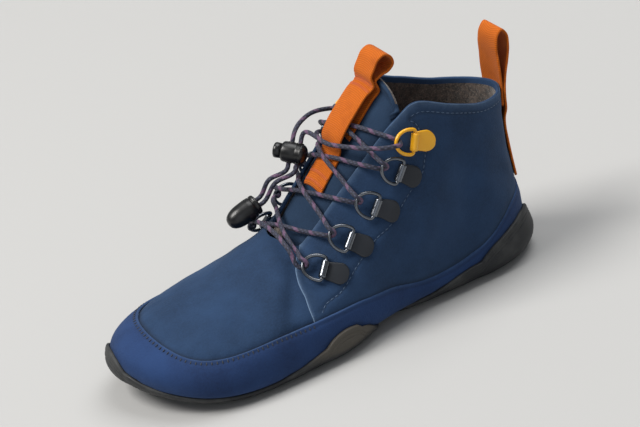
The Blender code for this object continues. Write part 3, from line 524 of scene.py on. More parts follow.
@dataclass
class Surface:
    """One material while its finish is laid in it: its node tree, shader and object coordinates."""

    tree: Any
    shader: Any
    where: Any = None

    def node(self, kind: str, out: Any, inputs: Optional[dict] = None, **settings: Any) -> Any:
        """Adds one shader node; a texture reads the object's own metres unless told otherwise.

        Args:
            kind: the node's type name, after the word that they all share.
            out: the output that is wanted, by name or number.
            inputs: values, hex colours or sockets for its inputs, by name or number.
            settings: the node's own properties.

        Returns:
            The output's socket.
        """
        made = self.tree.nodes.new(f"ShaderNode{kind}")
        own = {"Vector": self.where} if kind.startswith("Tex") and self.where else {}
        for name, value in settings.items():
            setattr(made, name, value)
        for name, value in {**own, **(inputs or {})}.items():
            if isinstance(value, bpy.types.NodeSocket):
                self.tree.links.new(value, made.inputs[name])
            else:
                made.inputs[name].default_value = linear(value) if isinstance(value, str) else value
        return made.outputs[out]

    def link(self, name: str, socket: Any) -> None:
        """Links a socket to one of the shader's inputs."""
        self.tree.links.new(socket, self.shader.inputs[name])

    def tinted(self, colour: Any, pattern: Any, reach: Sequence[float], tint: str) -> Any:
        """Mixes a tint over a colour where a pattern is in a range.

        Args:
            colour: the colour so far.
            pattern: the pattern's socket.
            reach: the pattern's values at the range's ends, then the tint's share at each.
            tint: the colour that is mixed in.

        Returns:
            The new colour's socket.
        """
        share = self.node("MapRange", 0, dict(enumerate([pattern, *reach])))
        return self.node("Mix", 2, {0: share, 6: colour, 7: tint}, data_type="RGBA")

    def raised(self, height: Any, depth: float, strength: float) -> None:
        """Makes a height the shader's bump; its depth is real millimetres."""
        made = {"Height": height, "Distance": depth / 1000.0, "Strength": strength}
        self.link("Normal", self.node("Bump", 0, made))


@dataclass(frozen=True)
class Finish:
    """What every finish has: a name, its slot in the record and the shader's plain values."""

    name: str
    slot: str
    colour: str
    roughness: float = 0.6
    metallic: float = 0.0
    coat: float = 0.0
    sheen: float = 0.0
    specular: float = 0.5

    def build(self) -> bpy.types.Material:
        """Makes the material, or hands back the one already made."""
        made = bpy.data.materials.get(self.name)
        if made:
            return made
        made = bpy.data.materials.new(self.name)
        made.use_nodes = True
        on = Surface(made.node_tree, made.node_tree.nodes["Principled BSDF"])
        plain = {
            "Base Color": linear(self.colour),
            "Roughness": self.roughness,
            "Metallic": self.metallic,
            "Coat Weight": self.coat,
            "Coat Roughness": 0.12,
            "Sheen Weight": self.sheen,
            "Sheen Roughness": 0.55,
            "Specular IOR Level": self.specular,
        }
        for name, value in plain.items():
            on.shader.inputs[name].default_value = value
        on.where = on.node("TexCoord", "Object")
        self.dress(on)
        return made

    def dress(self, on: Surface) -> None:
        """Adds the finish's own pattern; the plain finish has none."""


@dataclass(frozen=True)
class Nubuck(Finish):
    """Buffed leather: a short nap that goes light and dark where a hand has brushed it."""

    brushed: str = "#3b5878"
    worn: str = "#6f86a0"
    nap: float = 0.45
    sheen: float = 0.1
    roughness: float = 0.86
    specular: float = 0.22

    def dress(self, on: Surface) -> None:
        """Brushed patches, a fine grain, paler edges, painted shade along seams and a felt-like bump.

        Args:
            on: the surface that it is laid in.
        """
        sizes = ((16.0, 4.0), (self.nap, 3.0), (1.3, 3.0), (0.5, 4.0), (3.5, 3.0))
        patches, grain, rough, pile, soft = (on.node("TexNoise", "Fac", features(*size)) for size in sizes)
        colour = on.tinted(self.colour, patches, (0.35, 0.68, 0.0, 0.75), self.brushed)
        colour = on.tinted(colour, grain, (0.3, 0.7, 0.0, 0.42), self.brushed)
        pores = on.node("TexVoronoi", "Distance", {"Scale": 900.0})
        colour = on.tinted(colour, pores, (0.0, 0.22, 0.35, 0.0), "#16202e")
        edge = on.node("Attribute", "Fac", attribute_name="edge")
        wear = on.node("Math", 0, {0: edge, 1: rough}, operation="MULTIPLY")
        # Painted shade: where the seam attribute is high, #111822 darkens the leather in the corners along
        # seams, in stitch channels and above the sole's edge.
        shade = on.node("Attribute", "Fac", attribute_name="seam")
        for share, tint in ((wear, self.worn), (shade, "#111822")):
            colour = on.node("Mix", 2, {0: share, 6: colour, 7: tint}, data_type="RGBA")
        on.shader.inputs["Sheen Tint"].default_value = linear("#9db4d2")
        height = on.node("Math", 0, {0: soft, 1: 0.8, 2: pile}, operation="MULTIPLY_ADD")
        on.link("Base Color", colour)
        on.raised(height, 0.35, 0.55)


@dataclass(frozen=True)
class Felt(Finish):
    """Heathered wool felt: brown and grey fibres in small clumps."""

    light: str = "#75675c"
    dark: str = "#1c1613"
    sheen: float = 0.4
    roughness: float = 0.95

    def dress(self, on: Surface) -> None:
        """Clumps of light and dark fibre over a middle brown, with a deep soft bump.

        Args:
            on: the surface that it is laid in.
        """
        clumps = on.node("TexNoise", "Fac", features(1.1, 5.0))
        fibres = on.node("TexNoise", "Fac", features(0.4, 4.0))
        colour = on.tinted(self.dark, clumps, (0.38, 0.62, 0.0, 1.0), self.colour)
        colour = on.tinted(colour, fibres, (0.52, 0.72, 0.0, 0.85), self.light)
        on.link("Base Color", colour)
        on.raised(clumps, 0.9, 0.9)


@dataclass(frozen=True)
class Rubber(Finish):
    """Moulded carbon rubber: dull, faintly mottled, with a little dust in its grain."""

    dust: str = "#5b5c5a"
    roughness: float = 0.58
    specular: float = 0.35

    def dress(self, on: Surface) -> None:
        """Mottling, dust, a painted highlight along the top of the flap and a fine moulded grain.

        Args:
            on: the surface that it is laid in.
        """
        mottle = on.node("TexNoise", "Fac", features(7.0, 5.0))
        mottle = on.node("MapRange", 0, {0: mottle, 1: 0.45, 2: 0.75, 4: 0.45})
        gloss = on.node("MapRange", 0, {0: mottle, 2: 0.45, 3: 0.5, 4: 0.75})
        on.link("Roughness", gloss)
        # Painted highlight: #4d4840 lightens the top of the rubber flap, where the flap attribute is high.
        flap_highlight = on.node("Attribute", "Fac", attribute_name="flap_highlight")
        colour = self.colour
        for share, tint in ((mottle, self.dust), (flap_highlight, "#4d4840")):
            colour = on.node("Mix", 2, {0: share, 6: colour, 7: tint}, data_type="RGBA")
        grain = on.node("TexNoise", "Fac", features(0.35, 3.0))
        on.link("Base Color", colour)
        on.raised(grain, 0.12, 0.35)


@dataclass(frozen=True)
class Webbing(Finish):
    """Woven polyester tape: small checks from warp and weft threads 1.1 mm apart."""

    # Dark orange used both as painted shade between the threads and as soil.
    shade: str = "#8a3d0a"
    roughness: float = 0.82
    sheen: float = 0.04

    def dress(self, on: Surface) -> None:
        """Warp and weft as two wave patterns on the strap's own millimetre coordinates, painted shade in the
        gaps between them, and soil.

        Args:
            on: the surface that it is laid in.
        """
        own = on.node("UVMap", "UV")
        spun = {"Vector": own, "Scale": 0.314 / 0.0011, "Distortion": 1.0, "Detail": 1.0}
        warp, weft = (on.node("TexWave", "Fac", spun, bands_direction=way) for way in ("X", "Y"))
        both = on.node("Math", 0, {0: warp, 1: weft}, operation="MULTIPLY")
        # Painted shade: the gaps between warp and weft, where the bump is low, are darkened.
        colour = on.tinted(self.colour, both, (0.0, 0.6, 0.6, 0.0), self.shade)
        soil = on.node("TexNoise", "Fac", features(5.0, 4.0))
        colour = on.tinted(colour, soil, (0.5, 0.8, 0.0, 0.4), self.shade)
        on.link("Base Color", colour)
        on.raised(both, 0.35, 0.8)


@dataclass(frozen=True)
class Braid(Finish):
    """Braided elastic cord: dark slate with a fleck of plum where one carrier is coloured."""

    fleck: str = "#74506f"
    # Painted highlight colour for the braid's raised crests.
    pale: str = "#3b3e56"
    roughness: float = 0.7
    sheen: float = 0.06

    def dress(self, on: Surface) -> None:
        """Two crossing spirals on the cord's own coordinates make the braid's diamonds, with a painted
        highlight on their raised crests.

        Args:
            on: the surface that it is laid in.
        """
        run = on.node("UVMap", "UV")
        turned = [
            on.node("Mapping", 0, {"Vector": run, "Rotation": (0.0, 0.0, math.radians(angle))})
            for angle in (38, -38)
        ]
        spun = {"Scale": 160.0, "Distortion": 0.0, "Detail": 0.0}
        waved = [on.node("TexWave", "Fac", {"Vector": way, **spun}, bands_direction="X") for way in turned]
        both = on.node("Math", 0, {0: waved[0], 1: waved[1]}, operation="MULTIPLY")
        carrier = {"Vector": turned[0], "Scale": 40.0}
        flecks = on.node("TexWave", "Fac", carrier, bands_direction="X")
        # Painted highlight: the pale colour goes where the diamonds' bump is high.
        colour = on.tinted(self.colour, both, (0.1, 0.8, 0.0, 0.8), self.pale)
        colour = on.tinted(colour, flecks, (0.72, 0.95, 0.0, 0.55), self.fleck)
        on.link("Base Color", colour)
        on.raised(both, 0.25, 0.8)


@dataclass(frozen=True)
class Metal(Finish):
    """Plated or lacquered steel: even colour, gloss broken by faint rub marks."""

    rub: float = 0.03

    def dress(self, on: Surface) -> None:
        """Roughness that drifts a little over a few millimetres.

        Args:
            on: the surface that it is laid in.
        """
        drift = on.node("TexNoise", "Fac", features(4.0))
        low, high = self.roughness - self.rub, self.roughness + self.rub
        gloss = on.node("MapRange", 0, {0: drift, 1: 0.35, 2: 0.65, 3: low, 4: high})
        on.link("Roughness", gloss)


@dataclass(frozen=True)
class Moulding(Finish):
    """Injection-moulded nylon: near black, with a satin spark-eroded grain."""

    roughness: float = 0.36

    def dress(self, on: Surface) -> None:
        """A grain of about 0.3 mm and a slight drift in gloss.

        Args:
            on: the surface that it is laid in.
        """
        drift = on.node("TexNoise", "Fac", features(2.5, 3.0))
        gloss = on.node("MapRange", 0, {0: drift, 1: 0.3, 2: 0.7, 3: 0.26, 4: 0.44})
        on.link("Roughness", gloss)
        grain = on.node("TexNoise", "Fac", features(0.3))
        on.raised(grain, 0.04, 0.3)


@dataclass(frozen=True)
class Thread(Finish):
    """Twisted polyester thread: plies seen as a fine slanting bump."""

    roughness: float = 0.65
    sheen: float = 0.15

    def dress(self, on: Surface) -> None:
        """A slanted twist drawn at 0.5 mm so that it shows.

        Args:
            on: the surface that it is laid in.
        """
        twist = on.node("TexWave", "Fac", {"Scale": 620.0}, bands_direction="DIAGONAL")
        on.raised(twist, 0.1, 0.5)


VAMP_NUBUCK = Nubuck("buffed_navy_nubuck", "nubuck_leather", "#182b44", brushed="#263f60")
RAND_NUBUCK = Nubuck("buffed_indigo_nubuck", "nubuck_leather", "#16284a", brushed="#233d69", worn="#4d688a")
TONGUE_NUBUCK = Nubuck("buffed_tongue_nubuck", "tongue_nubuck", "#15263c", brushed="#213750", sheen=0.05)
CUT_EDGE = Nubuck("skived_nubuck_edge", "nubuck_leather", "#4c6380", brushed="#6c8098", sheen=0.05)
LINING_FELT = Felt("heathered_wool_felt", "insole_felt", "#4a3c33")
SOLE_RUBBER = Rubber("moulded_carbon_rubber", "outsole_rubber", "#1c1e21")
STRAP_WEAVE = Webbing("woven_orange_tape", "orange_webbing", "#cf6a10", specular=0.2)
LACE_BRAID = Braid("braided_elastic_cord", "elastic_cord", "#1b1d2e")
NICKEL = Metal("polished_gunmetal_nickel", "gunmetal_wire", "#6b6f75", roughness=0.24, metallic=1.0)
DARK_PLATE = Metal("blackened_steel_plate", "gunmetal_plate", "#2f3237", roughness=0.42, metallic=0.6)
YELLOW = Metal("stoved_yellow_lacquer", "yellow_lacquer", "#e6a60c", roughness=0.34, coat=0.3)
BLACK_NYLON = Moulding("moulded_black_nylon", "black_plastic", "#0c0d0f")
NAVY_THREAD = Thread("twisted_navy_thread", "nubuck_leather", "#121b29")
BLUE_THREAD = Thread("twisted_blue_thread", "nubuck_leather", "#3a526f")
ORANGE_THREAD = Thread("twisted_orange_thread", "orange_webbing", "#b9540f")


def grid_faces(rows: int, cols: int, wrap_rows: bool = False, wrap_cols: bool = False) -> Array:
    """Quads between the points of a grid.

    Args:
        rows: how many rows of points.
        cols: how many points a row.
        wrap_rows: whether the last row joins the first.
        wrap_cols: whether the last column joins the first.

    Returns:
        A row of four point numbers for each face.
    """
    i = np.arange(rows if wrap_rows else rows - 1)[:, None]
    j = np.arange(cols if wrap_cols else cols - 1)[None, :]
    a = i * cols + j
    b = i * cols + (j + 1) % cols
    c = (i + 1) % rows * cols + (j + 1) % cols
    d = (i + 1) % rows * cols + j
    return np.stack([a, b, c, d], axis=-1).reshape(-1, 4)


def grid_normals(grid: Array) -> Array:
    """The normals of a grid of points, across its rows and columns."""
    return units(np.cross(np.gradient(grid, axis=0), np.gradient(grid, axis=1)))


@dataclass
class Form:
    """A shape before it becomes a mesh: points, faces, and what is painted on them."""

    points: Array
    faces: Array
    finish_of: Optional[Array] = None
    uv: Optional[Array] = None
    fields: dict = field(default_factory=dict)

    def joined(self, other: "Form") -> "Form":
        """This form and another as one, where neither has painted fields of its own.

        Args:
            other: the form that is added.

        Returns:
            The new form, this one's points first.
        """
        count = len(self.points)
        own = self.finish_of if self.finish_of is not None else np.zeros(len(self.faces), int)
        new = other.finish_of if other.finish_of is not None else np.zeros(len(other.faces), int)
        uv = None if self.uv is None or other.uv is None else np.concatenate([self.uv, other.uv])
        faces = np.concatenate([self.faces, other.faces + count])
        return Form(np.concatenate([self.points, other.points]), faces, np.concatenate([own, new]), uv)


def slab(top: Array, under: Array) -> Form:
    """A closed sheet between two grids of points of the same shape.

    Args:
        top: the outer grid.
        under: the inner grid.

    Returns:
        The form, its top faces first.
    """
    rows, cols = top.shape[:2]
    half = rows * cols
    face = grid_faces(rows, cols)
    ring = np.r_[
        np.arange(rows) * cols,
        (rows - 1) * cols + np.arange(1, cols),
        np.arange(rows - 2, -1, -1) * cols + cols - 1,
        np.arange(cols - 2, 0, -1),
    ]
    after = np.roll(ring, -1)
    sides = np.stack([ring, after, half + after, half + ring], axis=-1)
    faces = np.concatenate([face, face[:, ::-1] + half, sides])
    return Form(np.concatenate([top.reshape(-1, 3), under.reshape(-1, 3)]), faces)


def rounded_slab(grid: Array, normal: Array, above: float, below: float, edge: float) -> Form:
    """A sheet whose four edges are rounded over a width.

    The thickness at a point is the full one times the square root of 1 minus the
    square of how far it is into the edge's width.

    Args:
        grid: the sheet's middle.
        normal: its unit normals.
        above: thickness on the normal's side.
        below: thickness on the other.
        edge: the width over which the edge is rounded, in millimetres.

    Returns:
        The closed form, with across and along distances as its coordinates.
    """
    across, along = distances(grid, 1), distances(grid, 0)
    near = np.min([across, across[:, -1:] - across, along, along[-1:, :] - along], axis=0)
    share = held(near / edge)
    full = np.sqrt(held(1 - (1 - share) ** 2)) * 0.92 + 0.08
    form = slab(grid + normal * (above * full)[..., None], grid - normal * (below * full)[..., None])
    flat = np.stack([across, along], axis=-1).reshape(-1, 2) / 1000
    form.uv = np.concatenate([flat, flat])
    return form


def closed_bar_faces(rows: int, sides: int) -> Array:
    """Faces of a bar of rings whose two ends close on one point each, added after the rings.

    Args:
        rows: how many rings.
        sides: points round each.

    Returns:
        Four point numbers a face, the last one twice at an end.
    """
    k = np.arange(sides)
    n = (k + 1) % sides
    last, count = (rows - 1) * sides, rows * sides
    start = np.stack([k, n, np.full(sides, count), np.full(sides, count)], axis=-1)
    end = np.stack([last + n, last + k, np.full(sides, count + 1), np.full(sides, count + 1)], axis=-1)
    return np.concatenate([grid_faces(rows, sides, wrap_cols=True), start, end])


def tube(path: Array, radius: Any, sides: int = 14, closed: bool = False) -> Form:
    """A round bar along a path, its section carried along without twist.

    Args:
        path: the points down its middle.
        radius: its radius, or one for each point.
        sides: points round the section.
        closed: whether the path is a loop.

    Returns:
        The closed form, with girth and length in metres as its coordinates.
    """
    path = np.asarray(path, float)
    reach = np.broadcast_to(radius, len(path))
    way = units(np.roll(path, -1, 0) - np.roll(path, 1, 0) if closed else np.gradient(path, axis=0))
    side = np.cross(way[0], (0.0, 0.0, 1.0))
    if np.linalg.norm(side) < 0.2:
        side = np.cross(way[0], (1.0, 0.0, 0.0))
    frames = []
    for ahead in way:
        side = side - ahead * (side @ ahead)
        side = side / np.linalg.norm(side)
        frames.append(side)
    first = np.array(frames)
    second = np.cross(way, first)
    turns = np.arange(sides) * 2 * math.pi / sides
    ring = np.cos(turns)[None, :, None] * first[:, None, :]
    ring = ring + np.sin(turns)[None, :, None] * second[:, None, :]
    points = (path[:, None, :] + ring * reach[:, None, None]).reshape(-1, 3)
    faces = grid_faces(len(path), sides, wrap_rows=closed, wrap_cols=True)
    length = distances(path)
    girth = turns * float(np.max(reach))
    uv = np.stack(np.broadcast_arrays(girth[None, :], length[:, None]), axis=-1).reshape(-1, 2) / 1000
    if not closed:
        points = np.concatenate([points, path[:1], path[-1:]])
        uv = np.concatenate([uv, uv[:1], uv[-1:]])
        faces = closed_bar_faces(len(path), sides)
    return Form(points, faces, uv=uv)


def stitches(
    line: Array, normal: Array, pitch: float, size: tuple[float, float, float], turned: bool
) -> Form:
    """A row of sewn threads, each a flat-bottomed lens of few faces.

    The lens is the product of a half sine along it and a half sine across it.

    Args:
        line: the points that the row follows.
        normal: the surface's normal at each.
        pitch: from one thread to the next.
        size: length, width and height of a thread.
        turned: whether threads lie across the row and not along it.

    Returns:
        All the threads as one form.
    """
    along = distances(line)
    at = np.arange(pitch / 2, along[-1], pitch)
    spots = read_along(line, at, along)
    ahead = read_along(line, at + 0.3, along) - spots
    ahead /= np.linalg.norm(ahead, axis=1)[:, None] + 1e-12
    out = units(read_along(normal, at, along))
    across = np.cross(out, ahead)
    if turned:
        ahead, across = across, ahead
    t = np.linspace(0, 1, 6)
    turn = np.linspace(0, 2 * math.pi, 7)[:-1]
    body = np.sin(math.pi * np.clip(t, 0.08, 0.92))
    lengthwise = (t - 0.5) * size[0]
    sideways = np.cos(turn)[None, :] * body[:, None] * size[1] / 2
    upward = np.sin(turn)[None, :] * body[:, None] * size[2]
    shape = (
        ahead[:, None, None, :] * lengthwise[None, :, None, None]
        + across[:, None, None, :] * sideways[None, :, :, None]
        + out[:, None, None, :] * upward[None, :, :, None]
    )
    points = (spots[:, None, None, :] + shape).reshape(-1, 3)
    caps = np.array([[0, 1, 2, 5], [2, 3, 4, 5], [30, 35, 32, 31], [32, 35, 34, 33]])
    one = np.concatenate([grid_faces(6, 6, wrap_cols=True), caps])
    faces = (one[None] + (np.arange(len(spots)) * 36)[:, None, None]).reshape(-1, 4)
    return Form(points, faces)


@dataclass
class Workshop:
    """Turns forms into pieces of the scene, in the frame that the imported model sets."""

    last: Last
    shift: Array = field(default_factory=lambda: np.zeros(3))

    def find_shift(self) -> None:
        """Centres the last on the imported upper, whose box it shares, in plan."""
        low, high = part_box("upper")
        u = np.linspace(0, RIBS, 840, endpoint=False)
        seam = looked_up(RAND_TOP, u)
        rows = [self.last.skin(u, seam * share, RAND_STEP) for share in (0.0, 0.5, 1.0)]
        rows += [self.last.skin(u, seam + (1 - seam) * t, 0.0) for t in np.linspace(0.17, 1, 8)]
        points = np.concatenate(rows)
        middle = (np.array(low) + np.array(high)) * 500
        self.shift = np.r_[middle[:2] - (points.min(0) + points.max(0))[:2] / 2, 0.0]

    def in_metres(self, points: Array) -> Array:
        """Points in the frame, in metres."""
        return (points + self.shift) / 1000

    def piece(
        self,
        name: str,
        form: Form,
        finishes: Sequence[Finish],
        replaces: Sequence[str] = (),
        turn: bool = True,
    ) -> bpy.types.Object:
        """Makes one piece of a form.

        Args:
            name: the piece's name.
            form: its shape.
            finishes: its finishes, which the form's faces choose from by number.
            replaces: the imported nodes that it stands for.
            turn: whether its faces are turned outwards.

        Returns:
            The object, riding on the shoe's one body.
        """
        mesh = bpy.data.meshes.new(name)
        faces = [tuple(dict.fromkeys(face)) for face in form.faces.tolist()]
        mesh.from_pydata(self.in_metres(form.points).tolist(), [], faces)
        if turn:
            work = bmesh.new()
            work.from_mesh(mesh)
            bmesh.ops.recalc_face_normals(work, faces=work.faces)
            work.to_mesh(mesh)
            work.free()
        for finish in finishes:
            mesh.materials.append(finish.build())
        if form.finish_of is not None:
            mesh.polygons.foreach_set("material_index", form.finish_of.astype(np.int32))
        if form.uv is not None:
            layer = mesh.uv_layers.new(name="UVMap")
            corner = np.zeros(len(mesh.loops), np.int32)
            mesh.loops.foreach_get("vertex_index", corner)
            layer.data.foreach_set("uv", form.uv[corner].astype(np.float32).ravel())
        for label, values in form.fields.items():
            held = mesh.attributes.new(label, "FLOAT", "POINT")
            held.data.foreach_set("value", values.astype(np.float32).ravel())
        mesh.polygons.foreach_set("use_smooth", np.ones(len(mesh.polygons), bool))
        mesh.update()
        made = bpy.data.objects.new(name, mesh)
        bpy.context.scene.collection.objects.link(made)
        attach(made, "root")
        if replaces:
            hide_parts(*replaces)
        log.info("%s: %d faces", name, len(mesh.polygons))
        return made


@dataclass
class Upper:
    """The leather upper: vamp and lining as one shell, the quarters and the rand laid on it."""

    shop: Workshop
    columns: int = 520
    seam_dip: float = 0.45
    tuck: float = 0.03
    stitch_from_seam: float = 2.3
    rim_stitch: float = 0.958
    rim_stitch_rib: float = 4.4
    front_inset: float = 3.2
    half_round: float = 230

    def seam(self, u: Array) -> Array:
        """Height of the rand's top seam, rounded off between the table's rows."""
        spread = np.linspace(-0.25, 0.25, 7)
        return np.mean([looked_up(RAND_TOP, u + step) for step in spread], axis=0)

    def stitch_lines(self) -> list[Array]:
        """The sewn lines that press a channel in the quarters."""
        last = self.shop.last
        facings = [last.line(FACING_STITCH), last.line(last.mirrored(FACING_STITCH))]
        return facings + [last.line(self.rim_marks(24), 3)]

    def rim_marks(self, count: int) -> list[tuple[float, float]]:
        """Marks of the stitch line round the collar."""
        ribs = np.linspace(-self.rim_stitch_rib, self.rim_stitch_rib, count)
        return [(rib, self.rim_stitch) for rib in ribs]

    def shell(self) -> None:
        """The vamp's outside, round the rim and down the felt inside, closed under the foot."""
        last = self.shop.last
        u = np.linspace(0, RIBS, self.columns, endpoint=False)
        seam = self.seam(u)
        under = np.array([-2.0, -1.0, -0.5, 0.0])
        outside = np.linspace(0, 1, 66)
        turn = np.linspace(0, math.pi, 9)[1:-1]
        inside = np.r_[np.linspace(1.0, 0.0, 40), -0.3, -0.7, -1.0, -2.0]
        level = np.r_[under, outside, np.ones(len(turn)), inside][:, None] + 0 * u
        first, final = len(under), len(under) + len(outside)
        s = level.copy()
        s[first:final] = seam - 0.05 + (1.05 - seam) * level[first:final]
        folds = -WALL / 2 + WALL / 2 * np.cos(turn)
        offsets = np.r_[0 * under - 0.1, 0 * outside, folds, 0 * inside - WALL]
        rises = np.r_[0 * under, 0 * outside, 0.9 * np.sin(turn), 0 * inside]
        grid_u = np.broadcast_to(u, s.shape)
        normal, up = last.ways(grid_u, s)
        base = last.place(grid_u, s)
        offset = offsets[:, None] + 0 * s
        flat = base[first:final].reshape(-1, 3)
        offset[first:final] += last.relief(flat).reshape(s[first:final].shape)
        offset[first:final] += self.puckers(grid_u[first:final], s[first:final], seam)
        lining = base[final + 7 :]
        soft = (0.22 * waves(lining.reshape(-1, 3), 11.0, 8) - 0.15).reshape(lining.shape[:2])
        offset[final + 7 :] += soft * held((1 - s[final + 7 :]) * 12)
        points = base + normal * offset[..., None] + up * rises[:, None, None]
        rows, cols = s.shape
        faces = grid_faces(rows, cols, wrap_rows=True, wrap_cols=True)
        which = np.repeat((np.arange(rows) >= final + 8).astype(int), cols)
        # Painted shade on the vamp in the corner just above the rand's raised top edge.
        painted_seam_shade = bell((s - seam) * MM_PER_HEIGHT, 0.9) * (s > seam - 0.02)
        fields = {"seam": 0.7 * painted_seam_shade * (np.arange(rows) < final)[:, None], "edge": 0 * s}
        form = Form(points.reshape(-1, 3), faces, which, fields={k: v.ravel() for k, v in fields.items()})
        self.shop.piece("upper_shell", form, [VAMP_NUBUCK, LINING_FELT], ["upper"])

    def puckers(self, u: Array, s: Array, seam: Array) -> Array:
        """Small gathers where the vamp is sewn to the rand round the toe: waves that fade up the vamp.

        Args:
            u: rib numbers.
            s: heights.
            seam: height of the rand's seam at each column.

        Returns:
            An offset for each place.
        """
        above = np.clip((s - seam) * MM_PER_HEIGHT, 0, None)
        toe = held(1 - np.abs(u - 10.5) / 3.6)
        wave = np.sin(u * 19.0) + 0.6 * np.sin(u * 31.0 + 1.0)
        return 0.16 * toe * wave * np.exp(-above / 7.0) - 0.5 * bell(above, 2.2)

    def front(self, s: Array) -> Array:
        """The rib of the quarter's front edge at a height."""
        heights, swings = np.array(QUARTER_EDGE).T
        smooth = [np.interp(s + step, heights, swings) for step in (-0.02, 0.0, 0.02)]
        return QUARTER_RIB + np.mean(smooth, axis=0)

    def quarters(self) -> None:
        """Both quarters as one overlay round the heel, its front edges skived and its rim folded."""
        last = self.shop.last
        near = np.array([0.0, 0.12, 0.3, 0.55, 0.9, 1.5, 2.4])
        across = np.linspace(-1, 1, 340)
        t = np.r_[np.linspace(0, 0.97, 62), 0.985, 0.995, 1.0]
        front, inset = self.front, self.front_inset
        share = across[np.abs(across) < 1 - inset / self.half_round][None, :]
        s = np.broadcast_to(t[:, None], (len(t), 1)).copy()
        for _ in range(4):
            low = self.seam(front(s).ravel())[:, None]
            s = low - self.tuck + (1 + self.tuck - low) * t[:, None]
        reach = last.breadth(front(s), s)
        outer = front(s) - near[None, :] / reach
        inner_share = share * (front(s) - inset / reach)
        u = np.concatenate([-outer, inner_share, outer[:, ::-1]], axis=1)
        low = self.seam(u.ravel()).reshape(u.shape) - self.tuck
        s = low + (1 - low) * t[:, None]
        base = last.place(u, s)
        normal, up = last.ways(u, s)
        flat = base.reshape(-1, 3)
        offset = last.relief(flat)
        for line in self.stitch_lines():
            offset -= self.seam_dip * bell(distance_to(flat, line), 1.1)
        offset = offset.reshape(s.shape)
        into = np.full(u.shape, 9.0)
        count = len(near)
        into[:, :count] = near
        into[:, -count:] = near[::-1]
        round_edge = np.sqrt(held(1 - (1 - held(into / 0.55)) ** 2))
        above = np.clip((s - low - self.tuck) * MM_PER_HEIGHT, 0, None)
        pulled = -0.35 * bell(above, 2.0)
        top = offset + QUARTER_STEP * round_edge + 0.05 + pulled
        under = offset - 0.35
        fold = held((t - 0.97) / 0.03)[:, None]
        top_points = base + normal * (top * (1 - fold) + 0.25 * fold)[..., None]
        top_points += up * (0.75 * np.sin(fold * math.pi / 2))[..., None]
        under_points = base + normal * under[..., None]
        form = slab(top_points, under_points)
        columns = np.tile(np.arange(u.shape[1] - 1), len(t) - 1)
        form.finish_of = np.zeros(len(form.faces), int)
        form.finish_of[: len(columns)] = (columns < 2) | (columns >= u.shape[1] - 3)
        wear = 0.85 * np.exp(-into / 0.8) + 0.5 * np.exp(-((1 - s) * 110 / 1.6))
        # Painted shade: darker just above the quarter's tucked lower edge and in each stitch channel.
        shade = 0.55 * bell(above, 1.0)
        for line in self.stitch_lines():
            gap = distance_to(flat, line).reshape(s.shape)
            shade += 0.35 * bell(gap, 0.6)
        both = {"edge": held(wear), "seam": np.clip(shade, 0, 0.8)}
        form.fields = {k: np.concatenate([v.ravel(), v.ravel()]) for k, v in both.items()}
        self.shop.piece("quarters", form, [VAMP_NUBUCK, CUT_EDGE])

    def rand(self) -> None:
        """The strip of brighter leather round the foot, from under the sole up to its seam."""
        last = self.shop.last
        u = np.linspace(0, RIBS, 720, endpoint=False)
        seam = self.seam(u)
        steep = last.steepness(u, seam)
        edge = np.array([2.6, 1.6, 0.95, 0.55, 0.28, 0.1, 0.0])
        heights = [np.full_like(u, s) for s in (-2.0, -1.5, -1.0, -0.8, -0.6, -0.4, -0.2, 0.0)]
        heights += [(seam - edge[0] / steep) * t for t in np.linspace(0, 1, 22)[1:-1]]
        heights += [seam - near / steep for near in edge]
        outside = len(heights)
        heights += [seam * share for share in (1.0, 0.6, 0.0)]
        heights += [np.full_like(u, s) for s in (-0.5, -1.0, -2.0)]
        rounding = np.ones(len(heights))
        rounding[outside - len(edge) : outside] = np.sqrt(1 - (1 - held(edge / 0.8)) ** 2)
        rounding[outside:] = 0.0
        s = np.array(heights)
        grid_u = np.broadcast_to(u, s.shape)
        base = last.place(grid_u, s)
        normal, _ = last.ways(grid_u, s)
        flat = base.reshape(-1, 3)
        relief = (0.45 * last.relief(flat)).reshape(s.shape)
        relief *= held(s * 12)
        above_sole = np.clip((s - looked_up(SOLE_LINE, grid_u)) * MM_PER_HEIGHT, 0, None)
        swell = 0.35 * held(above_sole / 6) * held((seam - s) * MM_PER_HEIGHT / 5)
        gap = (seam - s) * steep
        stitch = bell(gap - self.stitch_from_seam, 0.9)
        offset = (RAND_STEP + swell - 0.28 * stitch) * rounding[:, None] + relief - 0.02
        offset[outside:] = -0.05
        points = base + normal * offset[..., None]
        faces = grid_faces(*s.shape, wrap_rows=True, wrap_cols=True)
        wear = 0.6 * np.exp(-np.abs(gap) / 0.7)
        # Painted shade: darker just above the sole's edge and in the stitch channel.
        shade = 0.3 * bell(above_sole, 1.2) + 0.25 * stitch
        fields = {"edge": held(wear).ravel(), "seam": np.clip(shade, 0, 0.8).ravel()}
        self.shop.piece("rand", Form(points.reshape(-1, 3), faces, fields=fields), [RAND_NUBUCK])

